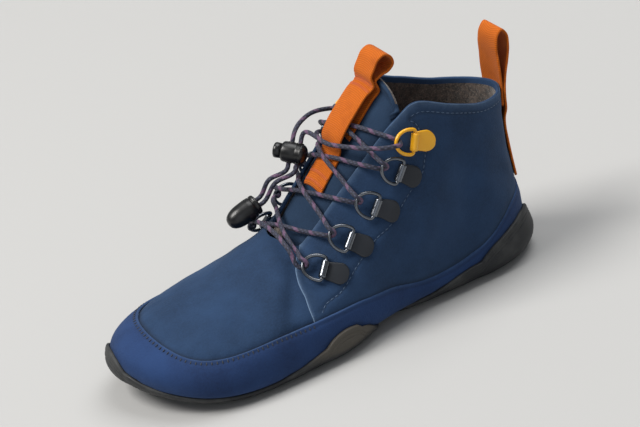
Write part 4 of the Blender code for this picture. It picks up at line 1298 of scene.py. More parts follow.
    def sewing(self) -> None:
        """The threads: short ones across the rand's edge, long ones along collar and facings."""
        last = self.shop.last
        u = np.linspace(0, RIBS, 900)
        seam = self.seam(u)
        s = seam - self.stitch_from_seam / last.steepness(u, seam)
        normal, _ = last.ways(u, s)
        line = last.place(u, s) + normal * (RAND_STEP + 0.02)
        toe = (u > 6.9) & (u < 15.2)
        form = stitches(line[toe], normal[toe], 2.9, (2.1, 0.75, 0.34), True)
        self.shop.piece("rand_stitches", form, [NAVY_THREAD])
        made: Optional[Form] = None
        for marks in (FACING_STITCH, last.mirrored(FACING_STITCH), self.rim_marks(30)):
            flat = curve_through([(a, b, 0.0) for a, b in marks], 10)
            ways, _ = last.ways(flat[:, 0], flat[:, 1])
            base = last.place(flat[:, 0], flat[:, 1])
            offset = QUARTER_STEP + 0.05 - self.seam_dip + last.relief(base)
            row = stitches(base + ways * offset[:, None], ways, 3.1, (2.4, 0.65, 0.38), False)
            made = row if made is None else made.joined(row)
        self.shop.piece("quarter_stitches", made, [BLUE_THREAD])

    def build(self) -> None:
        """Makes every piece of the upper."""
        self.shell()
        self.quarters()
        self.rand()
        self.sewing()


@dataclass
class Outsole:
    """The thin rubber sole: its wall, its rounded edge and the tread cut in its underside."""

    shop: Workshop
    sole: float = 4.0
    sole_edge: float = 1.6
    tread: float = 0.9
    columns: int = 700

    def arc(self, u: Array, s: Array) -> Array:
        """How far round the profile a height is, from where the corner starts.

        Args:
            u: rib numbers.
            s: heights.

        Returns:
            A distance in millimetres for each.
        """
        last = self.shop.last
        corner = last.corner(u) * math.pi / 2
        rise = 3 * spline(last.shares()[:, [6]] * last.collar_height, u)[:, 0]
        under = np.where(s < -1, last.reach_under(u) * (s + 1), corner * (s + 1))
        return np.where(s > 0, corner + rise * s, under)

    def height(self, u: Array, arc: Array) -> Array:
        """The height on the last of a distance round the profile.

        Args:
            u: rib numbers.
            arc: distances from where the corner starts.

        Returns:
            A height for each.
        """
        last = self.shop.last
        corner = last.corner(u) * math.pi / 2
        rise = 3 * spline(last.shares()[:, [6]] * last.collar_height, u)[:, 0]
        under = np.where(arc < 0, -1 + arc / last.reach_under(u), -1 + arc / corner)
        return np.where(arc > corner, (arc - corner) / rise, under)

    def carve(self, x: Array, y: Array) -> Array:
        """How deep the tread is cut at a place of the underside.

        Heel: rings 3.4 mm apart round the heel's middle. Waist: long waves. Forefoot:
        rings round an oval under the ball, and bending grooves across.

        Args:
            x: from the heel.
            y: towards the outer side.

        Returns:
            A depth of 0 to 1.
        """
        heel = np.hypot((x - 34) / 1.25, y)
        heel_rings = 0.5 + 0.5 * np.cos(2 * math.pi * heel / 3.4)
        in_heel = held((27 - heel) / 2)
        waist = 0.5 + 0.5 * np.cos(2 * math.pi * (y - 5 * np.sin(x / 22)) / 4.2)
        in_waist = held((x - 66) / 4) * held((128 - x) / 4)
        ball = np.hypot((x - 178) / 1.6, (y + 14))
        ball_rings = 0.5 + 0.5 * np.cos(2 * math.pi * ball / 3.2)
        in_ball = held((21 - ball) / 2)
        rim = bell(heel - 30, 1.6) + bell(ball - 24, 1.5)
        bends = np.zeros_like(x)
        for start, slant in ((142, 0.20), (163, 0.05), (192, -0.06), (214, -0.12)):
            bends += bell(x - start - slant * y - 3 * np.sin(y / 14), 1.3)
        lengthwise = bell(y - 16 - (x - 180) * 0.06, 1.4) * held((x - 140) / 6)
        parts = 0.6 * heel_rings * in_heel + 0.55 * waist * in_waist + 0.6 * ball_rings * in_ball
        return held(parts + rim + bends * (1 - in_ball) + lengthwise * (1 - in_ball))

    def cut(self, points: Array) -> Array:
        """Points of the sole with the tread cut up into those that face the floor.

        Args:
            points: rows of x, y and z.

        Returns:
            The points moved up.
        """
        last = self.shop.last
        floor = last.base_height(points[:, 0]) - last.sole_and_rand
        above = points[:, 2] - floor
        share = held(1 - above / 0.7)
        points = points.copy()
        points[:, 2] += self.tread * share * self.carve(points[:, 0], points[:, 1])
        return points

    def build(self) -> None:
        """The wall as rows round the foot, then underside and seat as rungs from side to side."""
        last = self.shop.last
        u = np.linspace(0, RIBS / 2, self.columns // 2 + 1)
        u = np.r_[u, RIBS - u[-2:0:-1]]
        edge_s = np.mean([looked_up(SOLE_LINE, u + step) for step in np.linspace(-0.12, 0.12, 5)], axis=0)
        edge = self.arc(u, edge_s)
        margin = last.reach_under(u)
        corner = last.corner(u) * math.pi / 2
        levels = [margin * share for share in (-1.12, -0.86, -0.82, -0.66, -0.62)]
        levels += [corner * share for share in (0.0, 0.25, 0.5, 0.75, 1.0)]
        levels += [(corner + edge) / 2, edge]
        arcs = np.array([np.minimum(level, edge - 0.35 * (11 - k)) for k, level in enumerate(levels)])
        fine = np.linspace(0, 11, 32)
        low = np.minimum(fine.astype(int), 10)
        part = (fine - low)[:, None]
        rows = arcs[low] * (1 - part) + arcs[low + 1] * part
        rows = np.minimum(rows, edge - 6.2 - 0.05 * np.arange(len(fine))[::-1, None])
        near = np.array([5.6, 5.0, 4.7, 4.4, 4.1, 3.6, 3.0, 2.7, 2.4, 2.1, 1.6, 0.9, 0.4, 0.0])
        rows = np.concatenate([rows, edge - near[:, None]])
        taper = np.clip(edge + 3, 4, 12)
        depth = self.sole_edge + (self.sole - self.sole_edge) * held((edge - rows) / taper) ** 0.8
        turns = held(1 - np.abs(u - 5.9) / 0.6) + held(1 - np.abs(u - 17.7) / 0.8)
        top = RAND_STEP + FIT
        back = edge - rows
        lines = sum(bell(back - gap, 0.35) for gap in (2.4, 4.4))
        depth = depth - 0.28 * lines * held((rows + 2) / 4)
        grid_u = np.broadcast_to(u, rows.shape)
        heights = self.height(grid_u.ravel(), rows.ravel()).reshape(rows.shape)
        outer = last.skin(grid_u, heights, top + depth)
        edge_rows = []
        for gap, share in ((0.25, 0.85), (0.42, 0.55), (0.48, 0.2)):
            at = self.height(u, edge + gap)
            edge_rows.append(last.skin(u, at, top + self.sole_edge * share))
        inner_levels = np.array([edge + 0.4, *arcs[:4:-1], arcs[0]])
        inner = [last.skin(u, self.height(u, arc), top - 0.25 + 0.5 * turns) for arc in inner_levels]
        grid = np.concatenate([outer, np.array(edge_rows), np.array(inner)])
        count = len(u)
        faces = grid_faces(len(grid), count, wrap_cols=True)
        wall_count = len(grid) * count
        half = count // 2
        lids, lid_faces = [], []
        begin = wall_count
        for row, steps in ((grid[0], 90), (grid[-1], 14)):
            t = np.linspace(0, 1, steps)[:, None, None]
            left = row[: half + 1]
            right = row[np.r_[0, np.arange(count - 1, half - 1, -1)]]
            lids.append((left[None] * (1 - t) + right[None] * t).reshape(-1, 3))
            lid_faces.append(grid_faces(steps, half + 1) + begin)
            begin += steps * (half + 1)
        points = np.concatenate([grid.reshape(-1, 3), *lids])
        faces = np.concatenate([faces, *lid_faces])
        # Painted highlight on the rubber flap that wraps up the outer side, lighter towards its top.
        flap_highlight = np.zeros(len(points))
        at_flap_highlight = held(1 - np.abs(u - 6.5) / 0.75)
        flap_highlight[:wall_count] = (at_flap_highlight * held((grid[..., 2] - 5) / 5)).ravel()
        whole = np.arange(len(points)) < wall_count + len(lids[0])
        points[whole] = self.cut(points[whole])
        form = Form(points, faces, fields={"flap_highlight": np.clip(flap_highlight * 1.6, 0, 0.8)})
        made = self.shop.piece("outsole_rubber", form, [SOLE_RUBBER], ["outsole"], turn=False)
        work = bmesh.new()
        work.from_mesh(made.data)
        bmesh.ops.remove_doubles(work, verts=work.verts, dist=2e-6)
        bmesh.ops.recalc_face_normals(work, faces=work.faces)
        work.to_mesh(made.data)
        work.free()


@dataclass
class Insole:
    """The felt insole that shows through the collar."""

    shop: Workshop
    thick: float = 3.2
    rim: float = -0.75
    columns: int = 150

    def build(self) -> None:
        """A closed pad from side to side whose top is rounded at its rim."""
        last = self.shop.last
        u = np.linspace(0, RIBS / 2, self.columns)
        t = np.linspace(0, 1, 70)
        start, end = (last.place(rib, np.full_like(u, self.rim)) for rib in (u, RIBS - u))
        share = t[:, None, None]
        flat = start[None] * (1 - share) + end[None] * share
        rim = 1 - (2 * np.abs(t - 0.5)) ** 10
        base = last.base_height(flat[..., 0]) + WALL + FIT
        tips = held(np.minimum(np.arange(self.columns), np.arange(self.columns)[::-1]) / 6)[None, :]
        top = flat.copy()
        rise = self.thick * (0.3 + 0.7 * rim[:, None] * tips)
        top[..., 2] = base + rise + 0.12 * waves(flat.reshape(-1, 3), 17.0, 12).reshape(base.shape)
        under = flat.copy()
        under[..., 2] = base
        self.shop.piece("insole_pad", slab(top, under), [LINING_FELT], ["insole"])


@dataclass
class Tongue:
    """The gusseted tongue in nubuck, felt behind, with the strap sewn on its face."""

    shop: Workshop
    low_rib: float = 8.6
    high_rib: float = 4.9
    clear: float = 1.3
    tuck_ease: float = 1.4
    top: float = 3.0
    thick: float = 3.0

    def place(self, v: Array, w: Array) -> Array:
        """The outer face: v runs 0 to 1 across from the outer side, w 0 to 1 up the throat.

        Args:
            v: shares across.
            w: shares up; over 1 is the free top, under 0 the end tucked in the toe.

        Returns:
            Points, in an array of the same shape and one axis more.
        """
        last = self.shop.last
        v, w = np.broadcast_arrays(np.asarray(v, float), np.asarray(w, float))
        shape = v.shape
        v, w = v.ravel(), w.ravel()
        beyond = np.clip(w - 1, 0, None)
        rib = self.low_rib + (self.high_rib - self.low_rib) * held(w)
        sink = -(WALL + self.clear)
        tuck = 0.015 + 0.125 * held(w * 2.5)
        one = 1 + 0.03 * beyond
        a, b = last.skin(rib, one, sink), last.skin(RIBS - rib, one, sink)
        a_way = a - last.skin(rib, one * 0.94, sink)
        b_way = b - last.skin(RIBS - rib, one * 0.94, sink)
        reach = 0.36 * np.linalg.norm(b - a, axis=1)[:, None]
        a_way *= reach / np.linalg.norm(a_way, axis=1)[:, None]
        b_way *= reach / np.linalg.norm(b_way, axis=1)[:, None]
        t = held((v - BRIDGE_START) / BRIDGE_SPAN)[:, None]
        bridge = (1 - t) ** 3 * a + 3 * (1 - t) ** 2 * t * (a + a_way)
        bridge += 3 * (1 - t) * t**2 * (b + b_way) + t**3 * b
        left = held((BRIDGE_START - v) / BRIDGE_START)
        right = held((v - BRIDGE_END) / BRIDGE_START)
        outer = last.skin(rib, 1 + 0.03 * beyond - tuck * left, sink - self.tuck_ease * left)
        inner = last.skin(RIBS - rib, 1 + 0.03 * beyond - tuck * right, sink - self.tuck_ease * right)
        point = np.where((v > BRIDGE_END)[:, None], inner, bridge)
        point = np.where((v < BRIDGE_START)[:, None], outer, point)
        front = np.clip(-w, 0, None)
        under = self.low_rib + (RIBS - 2 * self.low_rib) * np.clip((v - 0.1) / 0.8, -0.05, 1.05)
        tucked = last.skin(under, 1 - 0.13 * front, sink - 0.4 * front)
        point = np.where((w < 0)[:, None], tucked, point)
        rise = np.array([-0.10, 0.0, 1.0]) * self.top
        crown = 1 - (2 * t[:, 0] - 1) ** 2
        return (point + rise * (beyond * crown)[:, None]).reshape(shape + (3,))

    def framed(self, v: Array, w: Array) -> tuple[Array, Array]:
        """Places on the tongue and the way out of each, by small steps along v and w.

        Args:
            v: shares across.
            w: shares up.

        Returns:
            The places, then the ways.
        """
        small = 4e-3
        v, w = np.asarray(v, float), np.asarray(w, float)
        across = self.place(v + small, w) - self.place(v - small, w)
        up = self.place(v, w + small) - self.place(v, w - small)
        normal = units(np.cross(up, across))
        return self.place(v, w), np.where(normal[..., :1] < 0, -normal, normal)

    def over(self, place: tuple[float, float], stand: float) -> Array:
        """A point that stands off the tongue at a place on it."""
        face, out = self.framed(np.array([place[0]]), np.array([place[1]]))
        return face[0] + out[0] * stand

    def nearest(self, point: Array) -> tuple[float, float]:
        """The place on the tongue that is nearest to a point.

        Args:
            point: x, y and z.

        Returns:
            Its shares across and up.
        """
        v = np.linspace(BRIDGE_START, BRIDGE_END, 57)[None, :]
        w = np.linspace(0.3, 1.0, 141)[:, None]
        gap = np.linalg.norm(self.place(v, w) - point, axis=-1)
        row, column = np.unravel_index(np.argmin(gap), gap.shape)
        return float(v[0, column]), float(w[row, 0])

    def strap_row(self, w: float, height: float, across: Array) -> Array:
        """A row across the strap that follows the tongue at a height over it.

        Args:
            w: the share up the throat.
            height: how far over the tongue.
            across: shares of the strap's width.

        Returns:
            A point for each share.
        """
        step = self.place(np.array([0.49, 0.51]), w)
        share = 0.02 / np.linalg.norm(step[1] - step[0])
        face, out = self.framed(0.5 + across * STRAP_WIDTH * share, np.full(len(across), w))
        return face + out * height

    def build(self) -> None:
        """The tongue itself: a soft sheet, nubuck outside and felt inside."""
        across = np.linspace(BRIDGE_START, BRIDGE_END, 70)[1:]
        v = np.r_[np.linspace(0, BRIDGE_START, 14), across, np.linspace(BRIDGE_END, 1, 14)[1:]]
        w = np.r_[np.linspace(-1.0, 0.0, 16), np.linspace(0, 1, 96)[1:], np.linspace(1, 2, 10)[1:]]
        grid = self.place(v[None, :], w[:, None])
        _, out = self.framed(v[None, :], np.clip(w, 0.02, 1.0)[:, None])
        normal = grid_normals(grid)
        if (normal * out).sum(-1)[len(w) // 2, len(v) // 2] < 0:
            normal = -normal
        relief = 0.22 * waves(grid.reshape(-1, 3), 15.0, 21).reshape(grid.shape[:2])
        relief -= 0.5 * bell(v - 0.5, 0.05)[None, :] * held((0.55 - w) * 5)[:, None]
        stitch = bell(w - 1.55, 0.07)[:, None]
        half_thick = self.thick / 2
        form = rounded_slab(grid - normal * half_thick, normal, half_thick, half_thick, 1.4)
        half = grid.shape[0] * grid.shape[1]
        lift = (normal * (relief - 0.3 * stitch)[..., None]).reshape(-1, 3)
        form.points[:half] += lift
        face_count = (grid.shape[0] - 1) * (grid.shape[1] - 1)
        which = np.zeros(len(form.faces), int)
        bare = (v[1:] + v[:-1]) / 2
        felted = ((bare > 0.26) & (bare < 0.74)).astype(int)
        which[face_count : 2 * face_count] = np.tile(felted, grid.shape[0] - 1)
        form.finish_of = which
        form.uv = None
        # Painted shade along the tongue's dipped stitch line across its free top.
        line = 0.5 * stitch + 0 * relief
        form.fields = {"edge": np.zeros(2 * half), "seam": np.concatenate([line.ravel(), line.ravel()])}
        self.shop.piece("tongue_sheet", form, [TONGUE_NUBUCK, LINING_FELT], ["tongue"])


@dataclass
class Straps:
    """The two orange tapes: up the tongue and over, and up the heel and over."""

    shop: Workshop
    tongue: Tongue
    patch_width: float = 27.0

    # How the tongue strap's upper layer rises off the tongue, by place up the throat.
    RISE = ((0.73, 2.6), (0.755, 5.9), (0.79, 7.0), (0.86, 7.0), (0.93, 6.7), (1.00, 6.2))
    # The loops, forward and up as shares of the loop's height.
    TONGUE_BEND = (
        (0.129, 0.265), (0.041, 0.412), (-0.059, 0.535), (-0.182, 0.571), (-0.282, 0.500),
        (-0.306, 0.382), (-0.212, 0.288), (-0.065, 0.253),
    )
    HEEL_PATCH = ((0.35, 0.815), (0.37, 1.000), (0.44, 1.000), (0.54, 0.926), (0.64, 0.815), (0.74, 0.704))
    HEEL_BEND = (
        (-0.129, 0.24, 0.70), (-0.188, 0.48, 0.40), (-0.224, 0.72, 0.15), (-0.206, 0.90, 0.00),
        (-0.124, 1.00, 0.00), (-0.035, 0.92, 0.00), (0.006, 0.74, 0.15), (-0.009, 0.50, 0.40),
        (-0.029, 0.25, 0.70),
    )

    def smoothed(self, rows: Sequence[Array], steps: int) -> Array:
        """Rows of a strap with smooth rows between them."""
        rows = np.array(rows)
        flat = curve_through(rows.reshape(len(rows), -1), steps)
        return flat.reshape(-1, rows.shape[1], 3)

    def tape(self, name: str, grid: Array, node_name: str) -> None:
        """One tape of webbing round a grid down its middle, its selvedges rounded."""
        form = rounded_slab(grid, grid_normals(grid), WEBBING / 2, WEBBING / 2, 0.7)
        self.shop.piece(name, form, [STRAP_WEAVE], [node_name])

    def across(self) -> Array:
        """Places across a strap, closer at its edges, as shares of its width."""
        middle = np.linspace(-0.46, 0.46, 15)
        return np.r_[-0.5, -0.492, -0.478, middle, 0.478, 0.492, 0.5]

    def tongue_rows(self) -> list[Array]:
        """Rows of the tongue strap from its sewn foot, round the loop and back."""
        across = self.across()
        tongue = self.tongue
        flat = FIT + WEBBING / 2
        rows = [tongue.strap_row(w, flat, across) for w in (0.60, 0.65, 0.70)]
        rows += [tongue.strap_row(w, h, across) for w, h in self.RISE]
        middle = tongue.place(np.array([0.5]), np.array([1.0]))[0]
        top = tongue.place(np.array([0.5]), np.array([2.0]))[0]
        flat_row = np.outer(across * STRAP_WIDTH, (0, -1, 0))
        rows += [middle + np.array([x, 0.0, z]) * LOOP_HEIGHT + flat_row for x, z in self.TONGUE_BEND]
        lip = np.array([top[0] + flat + 1.2, top[1], top[2] + 0.3])
        curve = tongue.strap_row(1.0, 0.0, across)
        rows.append(lip + (curve - curve[len(across) // 2]) * (0.8, 1.0, 0.8))
        ends = ((1.0, flat + 0.3), (0.93, flat), (0.86, flat), (0.775, flat))
        return rows + [tongue.strap_row(w, h, across) for w, h in ends]

    def heel_row(self, s: float, width: float, offset: float) -> Array:
        """A row across the heel strap that follows the last.

        Args:
            s: the height on the last.
            width: the strap's width there.
            offset: how far off the last.

        Returns:
            A point for each place across.
        """
        last = self.shop.last
        step = last.skin(np.array([-0.05, 0.05]), np.array([s, s]), 0)
        share = 0.1 / np.linalg.norm(step[1] - step[0])
        across = self.across()
        return last.skin(across * width * share, np.full(len(across), s), offset)

    def heel_rows(self) -> list[Array]:
        """Rows of the heel strap: the patch, the loop over the collar, the tucked end."""
        near = QUARTER_STEP + FIT + WEBBING / 2
        far = near + WEBBING + FIT
        across = self.across()
        rows = [self.heel_row(s, width * self.patch_width, near) for s, width in self.HEEL_PATCH]
        rows.append(self.heel_row(0.80, STRAP_WIDTH, near + 0.4))
        rows += [self.heel_row(s, STRAP_WIDTH, far) for s in (0.86, 0.93, 1.0)]
        rim = self.shop.last.skin(np.array([0.0]), np.array([1.0]), 0)[0]
        bow = self.heel_row(1.0, STRAP_WIDTH, far)
        bow = (bow - bow[len(across) // 2]) * (1, 1, 0)
        flat = np.outer(across * STRAP_WIDTH, (0, 1, 0))
        for x, z, rest in self.HEEL_BEND:
            rows.append(rim + np.array([x, 0.0, z]) * LOOP_HEIGHT + bow * rest + flat * (1 - rest))
        return rows + [self.heel_row(s, STRAP_WIDTH, near) for s in (1.0, 0.94, 0.88)]

    def bar_tacks(self, grid: Array, marks: Sequence[int], height: float) -> Form:
        """Ribs of close thread across a strap at some of its rows.

        Args:
            grid: the strap's middle.
            marks: the rows that are sewn.
            height: how far the thread's foot is off the tape.

        Returns:
            All the ribs as one form.
        """
        normal = grid_normals(grid)
        made: Optional[Form] = None
        for row in marks:
            inner = slice(2, grid.shape[1] - 2)
            line, ways = grid[row, inner], normal[row, inner]
            ways = ways * np.sign((ways * np.array(BOW)).sum(-1).mean())
            form = stitches(line + ways * (WEBBING / 2 + height), ways, 1.15, (2.2, 0.95, 0.32), True)
            made = form if made is None else made.joined(form)
        return made

    def build(self) -> None:
        """Makes both tapes and the bar tacks on the tongue strap."""
        grid = self.smoothed(self.tongue_rows(), 6)
        self.tape("tongue_strap", grid, "tongue_loop")
        self.shop.piece("tongue_strap_tacks", self.bar_tacks(grid, (2, 5, 44, 47, 50), 0.0), [ORANGE_THREAD])
        grid = self.smoothed(self.heel_rows(), 6)
        self.tape("heel_strap", grid, "heel_loop")


@dataclass
class Rings:
    """The lace rings and the plates that hold them."""

    shop: Workshop
    plate_length: float = 13.0
    plate_width: float = 12.0
    plate: float = 0.9
    plate_fit: float = 0.45

    def seat(self, station: int, side: Side) -> tuple[Array, Array, Array, Array]:
        """A ring's bar on the quarter and the ways to the next ring, to the throat and out.

        Args:
            station: which ring, from the lowest.
            side: the side of the shoe.

        Returns:
            The place, then the three ways.
        """
        last = self.shop.last
        bar_rib, bar_height, tail_rib, tail_height = LACE_STATIONS[station]
        ribs = np.array([bar_rib, tail_rib])
        ribs = ribs if side is Side.OUTER else RIBS - ribs
        heights = np.array([bar_height, tail_height])
        bar, tail = last.skin(ribs, heights, QUARTER_STEP)
        out = last.ways(ribs[:1], heights[:1])[0][0]
        inward = bar - tail
        inward -= out * (inward @ out)
        inward = unit(inward)
        return bar, np.cross(inward, out) * side.value, inward, out

    def plate_form(self, station: int, side: Side) -> Form:
        """The plate from its round tail to the barrel that it curls into over the ring's bar.

        Args:
            station: which ring, from the lowest.
            side: the side of the shoe.

        Returns:
            The closed form, its barrel with a finish of its own.
        """
        last = self.shop.last
        bar_rib, bar_height, tail_rib, tail_height = LACE_STATIONS[station]
        bar, along, inward, out = self.seat(station, side)
        ends = last.skin(np.array([bar_rib, tail_rib]), np.array([bar_height, tail_height]), 0)
        span = np.linalg.norm(ends[1] - ends[0])
        tail = np.linspace(0, math.pi / 2, 12)
        lengths = np.r_[0.62 + 0.38 * np.cos(tail), np.linspace(0.62, 0.0, 10)[1:]]
        widths = np.r_[0.12 + 0.88 * np.sin(tail), 1.0 - 0.18 * np.linspace(0, 1, 10)[1:]]
        rows, ways = [], []
        for length in lengths:
            share = length * self.plate_length / span
            rib = bar_rib + (tail_rib - bar_rib) * share
            rib = np.array([rib if side is Side.OUTER else RIBS - rib])
            height = np.array([bar_height + (tail_height - bar_height) * share])
            rows.append(last.skin(rib, height, QUARTER_STEP + self.plate_fit + self.plate / 2)[0])
            level = last.ways(rib, height)[0][0]
            ways.append(unit(along - level * (along @ level)))
        turn = RING_WIRE / 2 + FIT + self.plate / 2
        angles = np.radians(np.linspace(-50, 165, 40))
        for angle in angles:
            around = out * (BARREL_HEIGHT + turn * math.sin(angle)) + inward * turn * math.cos(angle)
            rows.append(bar + around)
            ways.append(along)
        widths = np.r_[widths, np.full(len(angles), widths[-1])]
        across = np.r_[-0.5, -0.47, -0.42, np.linspace(-0.34, 0.34, 7), 0.42, 0.47, 0.5]
        middle, way = np.array(rows), np.array(ways)
        reach = (widths * self.plate_width)[:, None, None] * across[None, :, None]
        grid = middle[:, None, :] + way[:, None, :] * reach
        form = rounded_slab(grid, grid_normals(grid), self.plate / 2, self.plate / 2, 0.45)
        barrel = np.repeat(np.arange(len(rows) - 1), len(across) - 1) >= len(lengths) - 1
        form.finish_of = np.zeros(len(form.faces), int)
        form.finish_of[: 2 * len(barrel)] = np.tile(barrel, 2)
        return form

    def ring_form(self, station: int, side: Side) -> Form:
        """A D of round wire: straight where its plate holds it, an ellipse where the lace runs.

        Args:
            station: which ring, from the lowest.
            side: the side of the shoe.

        Returns:
            The closed form.
        """
        bar, along, inward, out = self.seat(station, side)
        half = RING_WIDTH / 2
        bow = np.radians(np.linspace(8, 172, 34))
        flat = [(half - 2.6, 0.0), (half - 1.2, 0.12), (half - 0.35, 0.75), (half, 2.0)]
        flat += [(half * math.cos(a), 3.0 + (RING_DEPTH - 3.0) * math.sin(a)) for a in bow]
        flat += [(-half, 2.0), (0.35 - half, 0.75), (1.2 - half, 0.12), (2.6 - half, 0.0)]
        forward = inward * math.cos(RING_LIFT) + out * math.sin(RING_LIFT)
        centre = bar + out * BARREL_HEIGHT
        path = np.array([centre + along * x + forward * y for x, y in flat])
        closed = np.concatenate([path, path[:1]])
        return tube(evenly(closed, 0.55)[:-1], RING_WIRE / 2, 14, closed=True)

    def build(self) -> None:
        """Makes all ten rings with their plates, the top pair lacquered yellow."""
        for station in range(len(LACE_STATIONS)):
            top = station == len(LACE_STATIONS) - 1
            for side, word in ((Side.OUTER, "outer"), (Side.INNER, "inner")):
                end = f"{word}_{station + 1}"
                plate = [YELLOW, YELLOW] if top else [DARK_PLATE, NICKEL]
                wire = [YELLOW] if top else [NICKEL]
                self.shop.piece(f"lace_plate_{end}", self.plate_form(station, side), plate, [f"plate_{end}"])
                self.shop.piece(f"lace_ring_{end}", self.ring_form(station, side), wire, [f"ring_{end}"])


@dataclass
class Lacing:
    """The elastic lace: one cord through all the rings to the lock, and its two free strands."""

    shop: Workshop
    tongue: Tongue
    rings: Rings

    def end(self, station: int, side: Side, lane: int) -> Array:
        """Where a stretch of lace reaches its ring. The lane keeps two of them side by side.

        Args:
            station: which ring, from the lowest.
            side: the side of the shoe.
            lane: 1 or -1 along the ring's bar.

        Returns:
            The point.
        """
        bar, along, inward, out = self.rings.seat(station, side)
        reach = RING_DEPTH + RING_WIRE / 2 + LACE_FIT
        place = bar + out * (BARREL_HEIGHT + reach * math.sin(RING_LIFT))
        return place + inward * reach * math.cos(RING_LIFT) + along * lane * LANE

    def through_ring(self, station: int, side: Side, lane_in: int, lane_out: int) -> list[Array]:
        """The lace's turn round a ring's bow: under the wire, up through the ring, back over it.

        Args:
            station: which ring, from the lowest.
            side: the side of the shoe.
            lane_in: the lane of the stretch that comes in.
            lane_out: the lane of the one that leaves.

        Returns:
            The turn's points in order.
        """
        bar, along, inward, out = self.rings.seat(station, side)
        forward = inward * math.cos(RING_LIFT) + out * math.sin(RING_LIFT)
        upward = out * math.cos(RING_LIFT) - inward * math.sin(RING_LIFT)
        bow = bar + out * BARREL_HEIGHT + forward * RING_DEPTH
        clear = RING_WIRE / 2 + LACE / 2 + 0.1
        places = []
        turns = ((-75, lane_in), (-125, lane_in * 0.75), (180, 0.0), (125, lane_out * 0.75), (75, lane_out))
        for degrees, lane in turns:
            angle = math.radians(degrees)
            around = forward * math.cos(angle) + upward * math.sin(angle)
            places.append(bow + around * clear + along * lane * LANE * 0.8)
        return places

    def crossing(self, start: Array, end: Array, height: float, bump: float) -> list[Array]:
        """A stretch over the tongue in one plane, bowed to stay its height above the tongue.

        Args:
            start: where it leaves one ring.
            end: where it reaches the next.
            height: how far its middle stays over the tongue.
            bump: how much more its very middle rises, where two stretches cross.

        Returns:
            The points between its ends.
        """
        t = np.linspace(0.1, 0.9, 7)
        path = start + (end - start) * t[:, None]
        places = np.array([self.tongue.nearest(point) for point in path])
        bow = unit(BOW)
        lift = (self.tongue.place(places[:, 0], places[:, 1]) - path) @ bow + height
        lift *= held(np.minimum(t, 1 - t) / 0.14)
        lift += bump * bell(t - 0.5, 0.16)
        return list(path + bow * lift[:, None])

    def lock_frame(self) -> tuple[Array, Array, Array]:
        """The cord lock's middle, the way to its button and the way that the cord runs through."""
        lock, way = self.tongue.over(LOCK_PLACE, LOCK_STAND), unit(LOCK_WAY)
        through = self.tongue.over(CORD_END_PLACE, CORD_END_STAND) - lock
        return lock, way, unit(through - way * (through @ way))

    def half(self, first: Side) -> list[Array]:
        """The lace from the lowest bar's middle up to the lock, starting at one side's lowest ring.

        Args:
            first: the side that it starts from.

        Returns:
            The points in order.
        """
        tops = len(LACE_STATIONS) - 1
        route = self.through_ring(0, first, -1, 1)
        side = first
        for station, height in enumerate(CROSS_HEIGHTS):
            other = Side.INNER if side is Side.OUTER else Side.OUTER
            lane = 1 if station + 1 == tops else -1
            start, end = self.end(station, side, 1), self.end(station + 1, other, lane)
            bump = 1.25 if first is Side.OUTER else -0.9
            bump = bump if station % 2 == 0 else -bump
            route += self.crossing(start, end, height, bump)
            route += self.through_ring(station + 1, other, lane, -lane)
            side = other
        lock, way, through = self.lock_frame()
        lane = side.value
        start = self.end(tops, side, -1)
        end = lock - through * (LOCK_WIDTH / 2 + LACE_FIT) - way * lane * LOCK_LANE
        mouth = end - through * 3.0
        if side is Side.OUTER:
            between = self.tongue.over((0.42, 0.74), LEG_HEIGHT)
        else:
            between = (start + mouth) / 2 + np.array([3.0, -2.0, 4.0])
        return route + [between, mouth, end, end + through * 4.0]

    def run(self) -> Array:
        """The whole lace, from the lock down one side's rings, across the bar and up the other's."""
        start, end = self.end(0, Side.OUTER, -1), self.end(0, Side.INNER, -1)
        t = np.linspace(0.14, 0.86, 6)[:, None]
        rise = np.array([0.0, 0.0, BAR_LIFT]) * np.abs(np.sin(math.pi * t)) ** 0.6
        bar = list(start + (end - start) * t + rise)
        route = self.half(Side.OUTER)[::-1] + bar + self.half(Side.INNER)
        return evenly(curve_through(route, 10), 0.8)

    def strand(self, lane: int) -> Array:
        """A free strand from inside the lock to inside the cord end.

        Args:
            lane: 1 or -1, the cord hole that it comes from.

        Returns:
            Its points, 0.8 mm apart.
        """
        lock, way, through = self.lock_frame()
        face, ahead = self.tongue.over(CORD_END_PLACE, CORD_END_STAND), unit(CORD_END_WAY)
        spread = unit(way - ahead * (way @ ahead))
        start = lock + through * (LOCK_WIDTH / 2 + FIT) - way * lane * LOCK_LANE
        end = face - ahead * FIT - spread * lane * CORD_END_LANE
        middle = (start + end) / 2 + unit(BOW) * STRAND_BOW
        route = [start - through * 3.0, start, start + through * LACE, middle]
        route += [end - ahead * LACE, end, end + ahead * 3.0]
        return evenly(curve_through(route, 10), 0.8)

    def build(self, fittings: Sequence[bpy.types.Object]) -> None:
        """Makes the lace through the rings and its two free strands.

        Args:
            fittings: the pieces on the free strands; not used.
        """
        nodes = ["lace_bar", "lace_leg_outer", "lace_leg_inner"]
        nodes += [f"lace_cross_{k + 1}" for k in range(len(CROSS_HEIGHTS))]
        self.shop.piece("lace_through_rings", tube(self.run(), LACE / 2, 12), [LACE_BRAID], nodes)
        for lane, word in ((1, "outer"), (-1, "inner")):
            path = self.strand(lane)
            form = tube(path, LACE / 2, 12)
            made = self.shop.piece(f"lace_strand_{word}", form, [LACE_BRAID], [f"lace_end_{word}"])
            line = self.shop.in_metres(path)


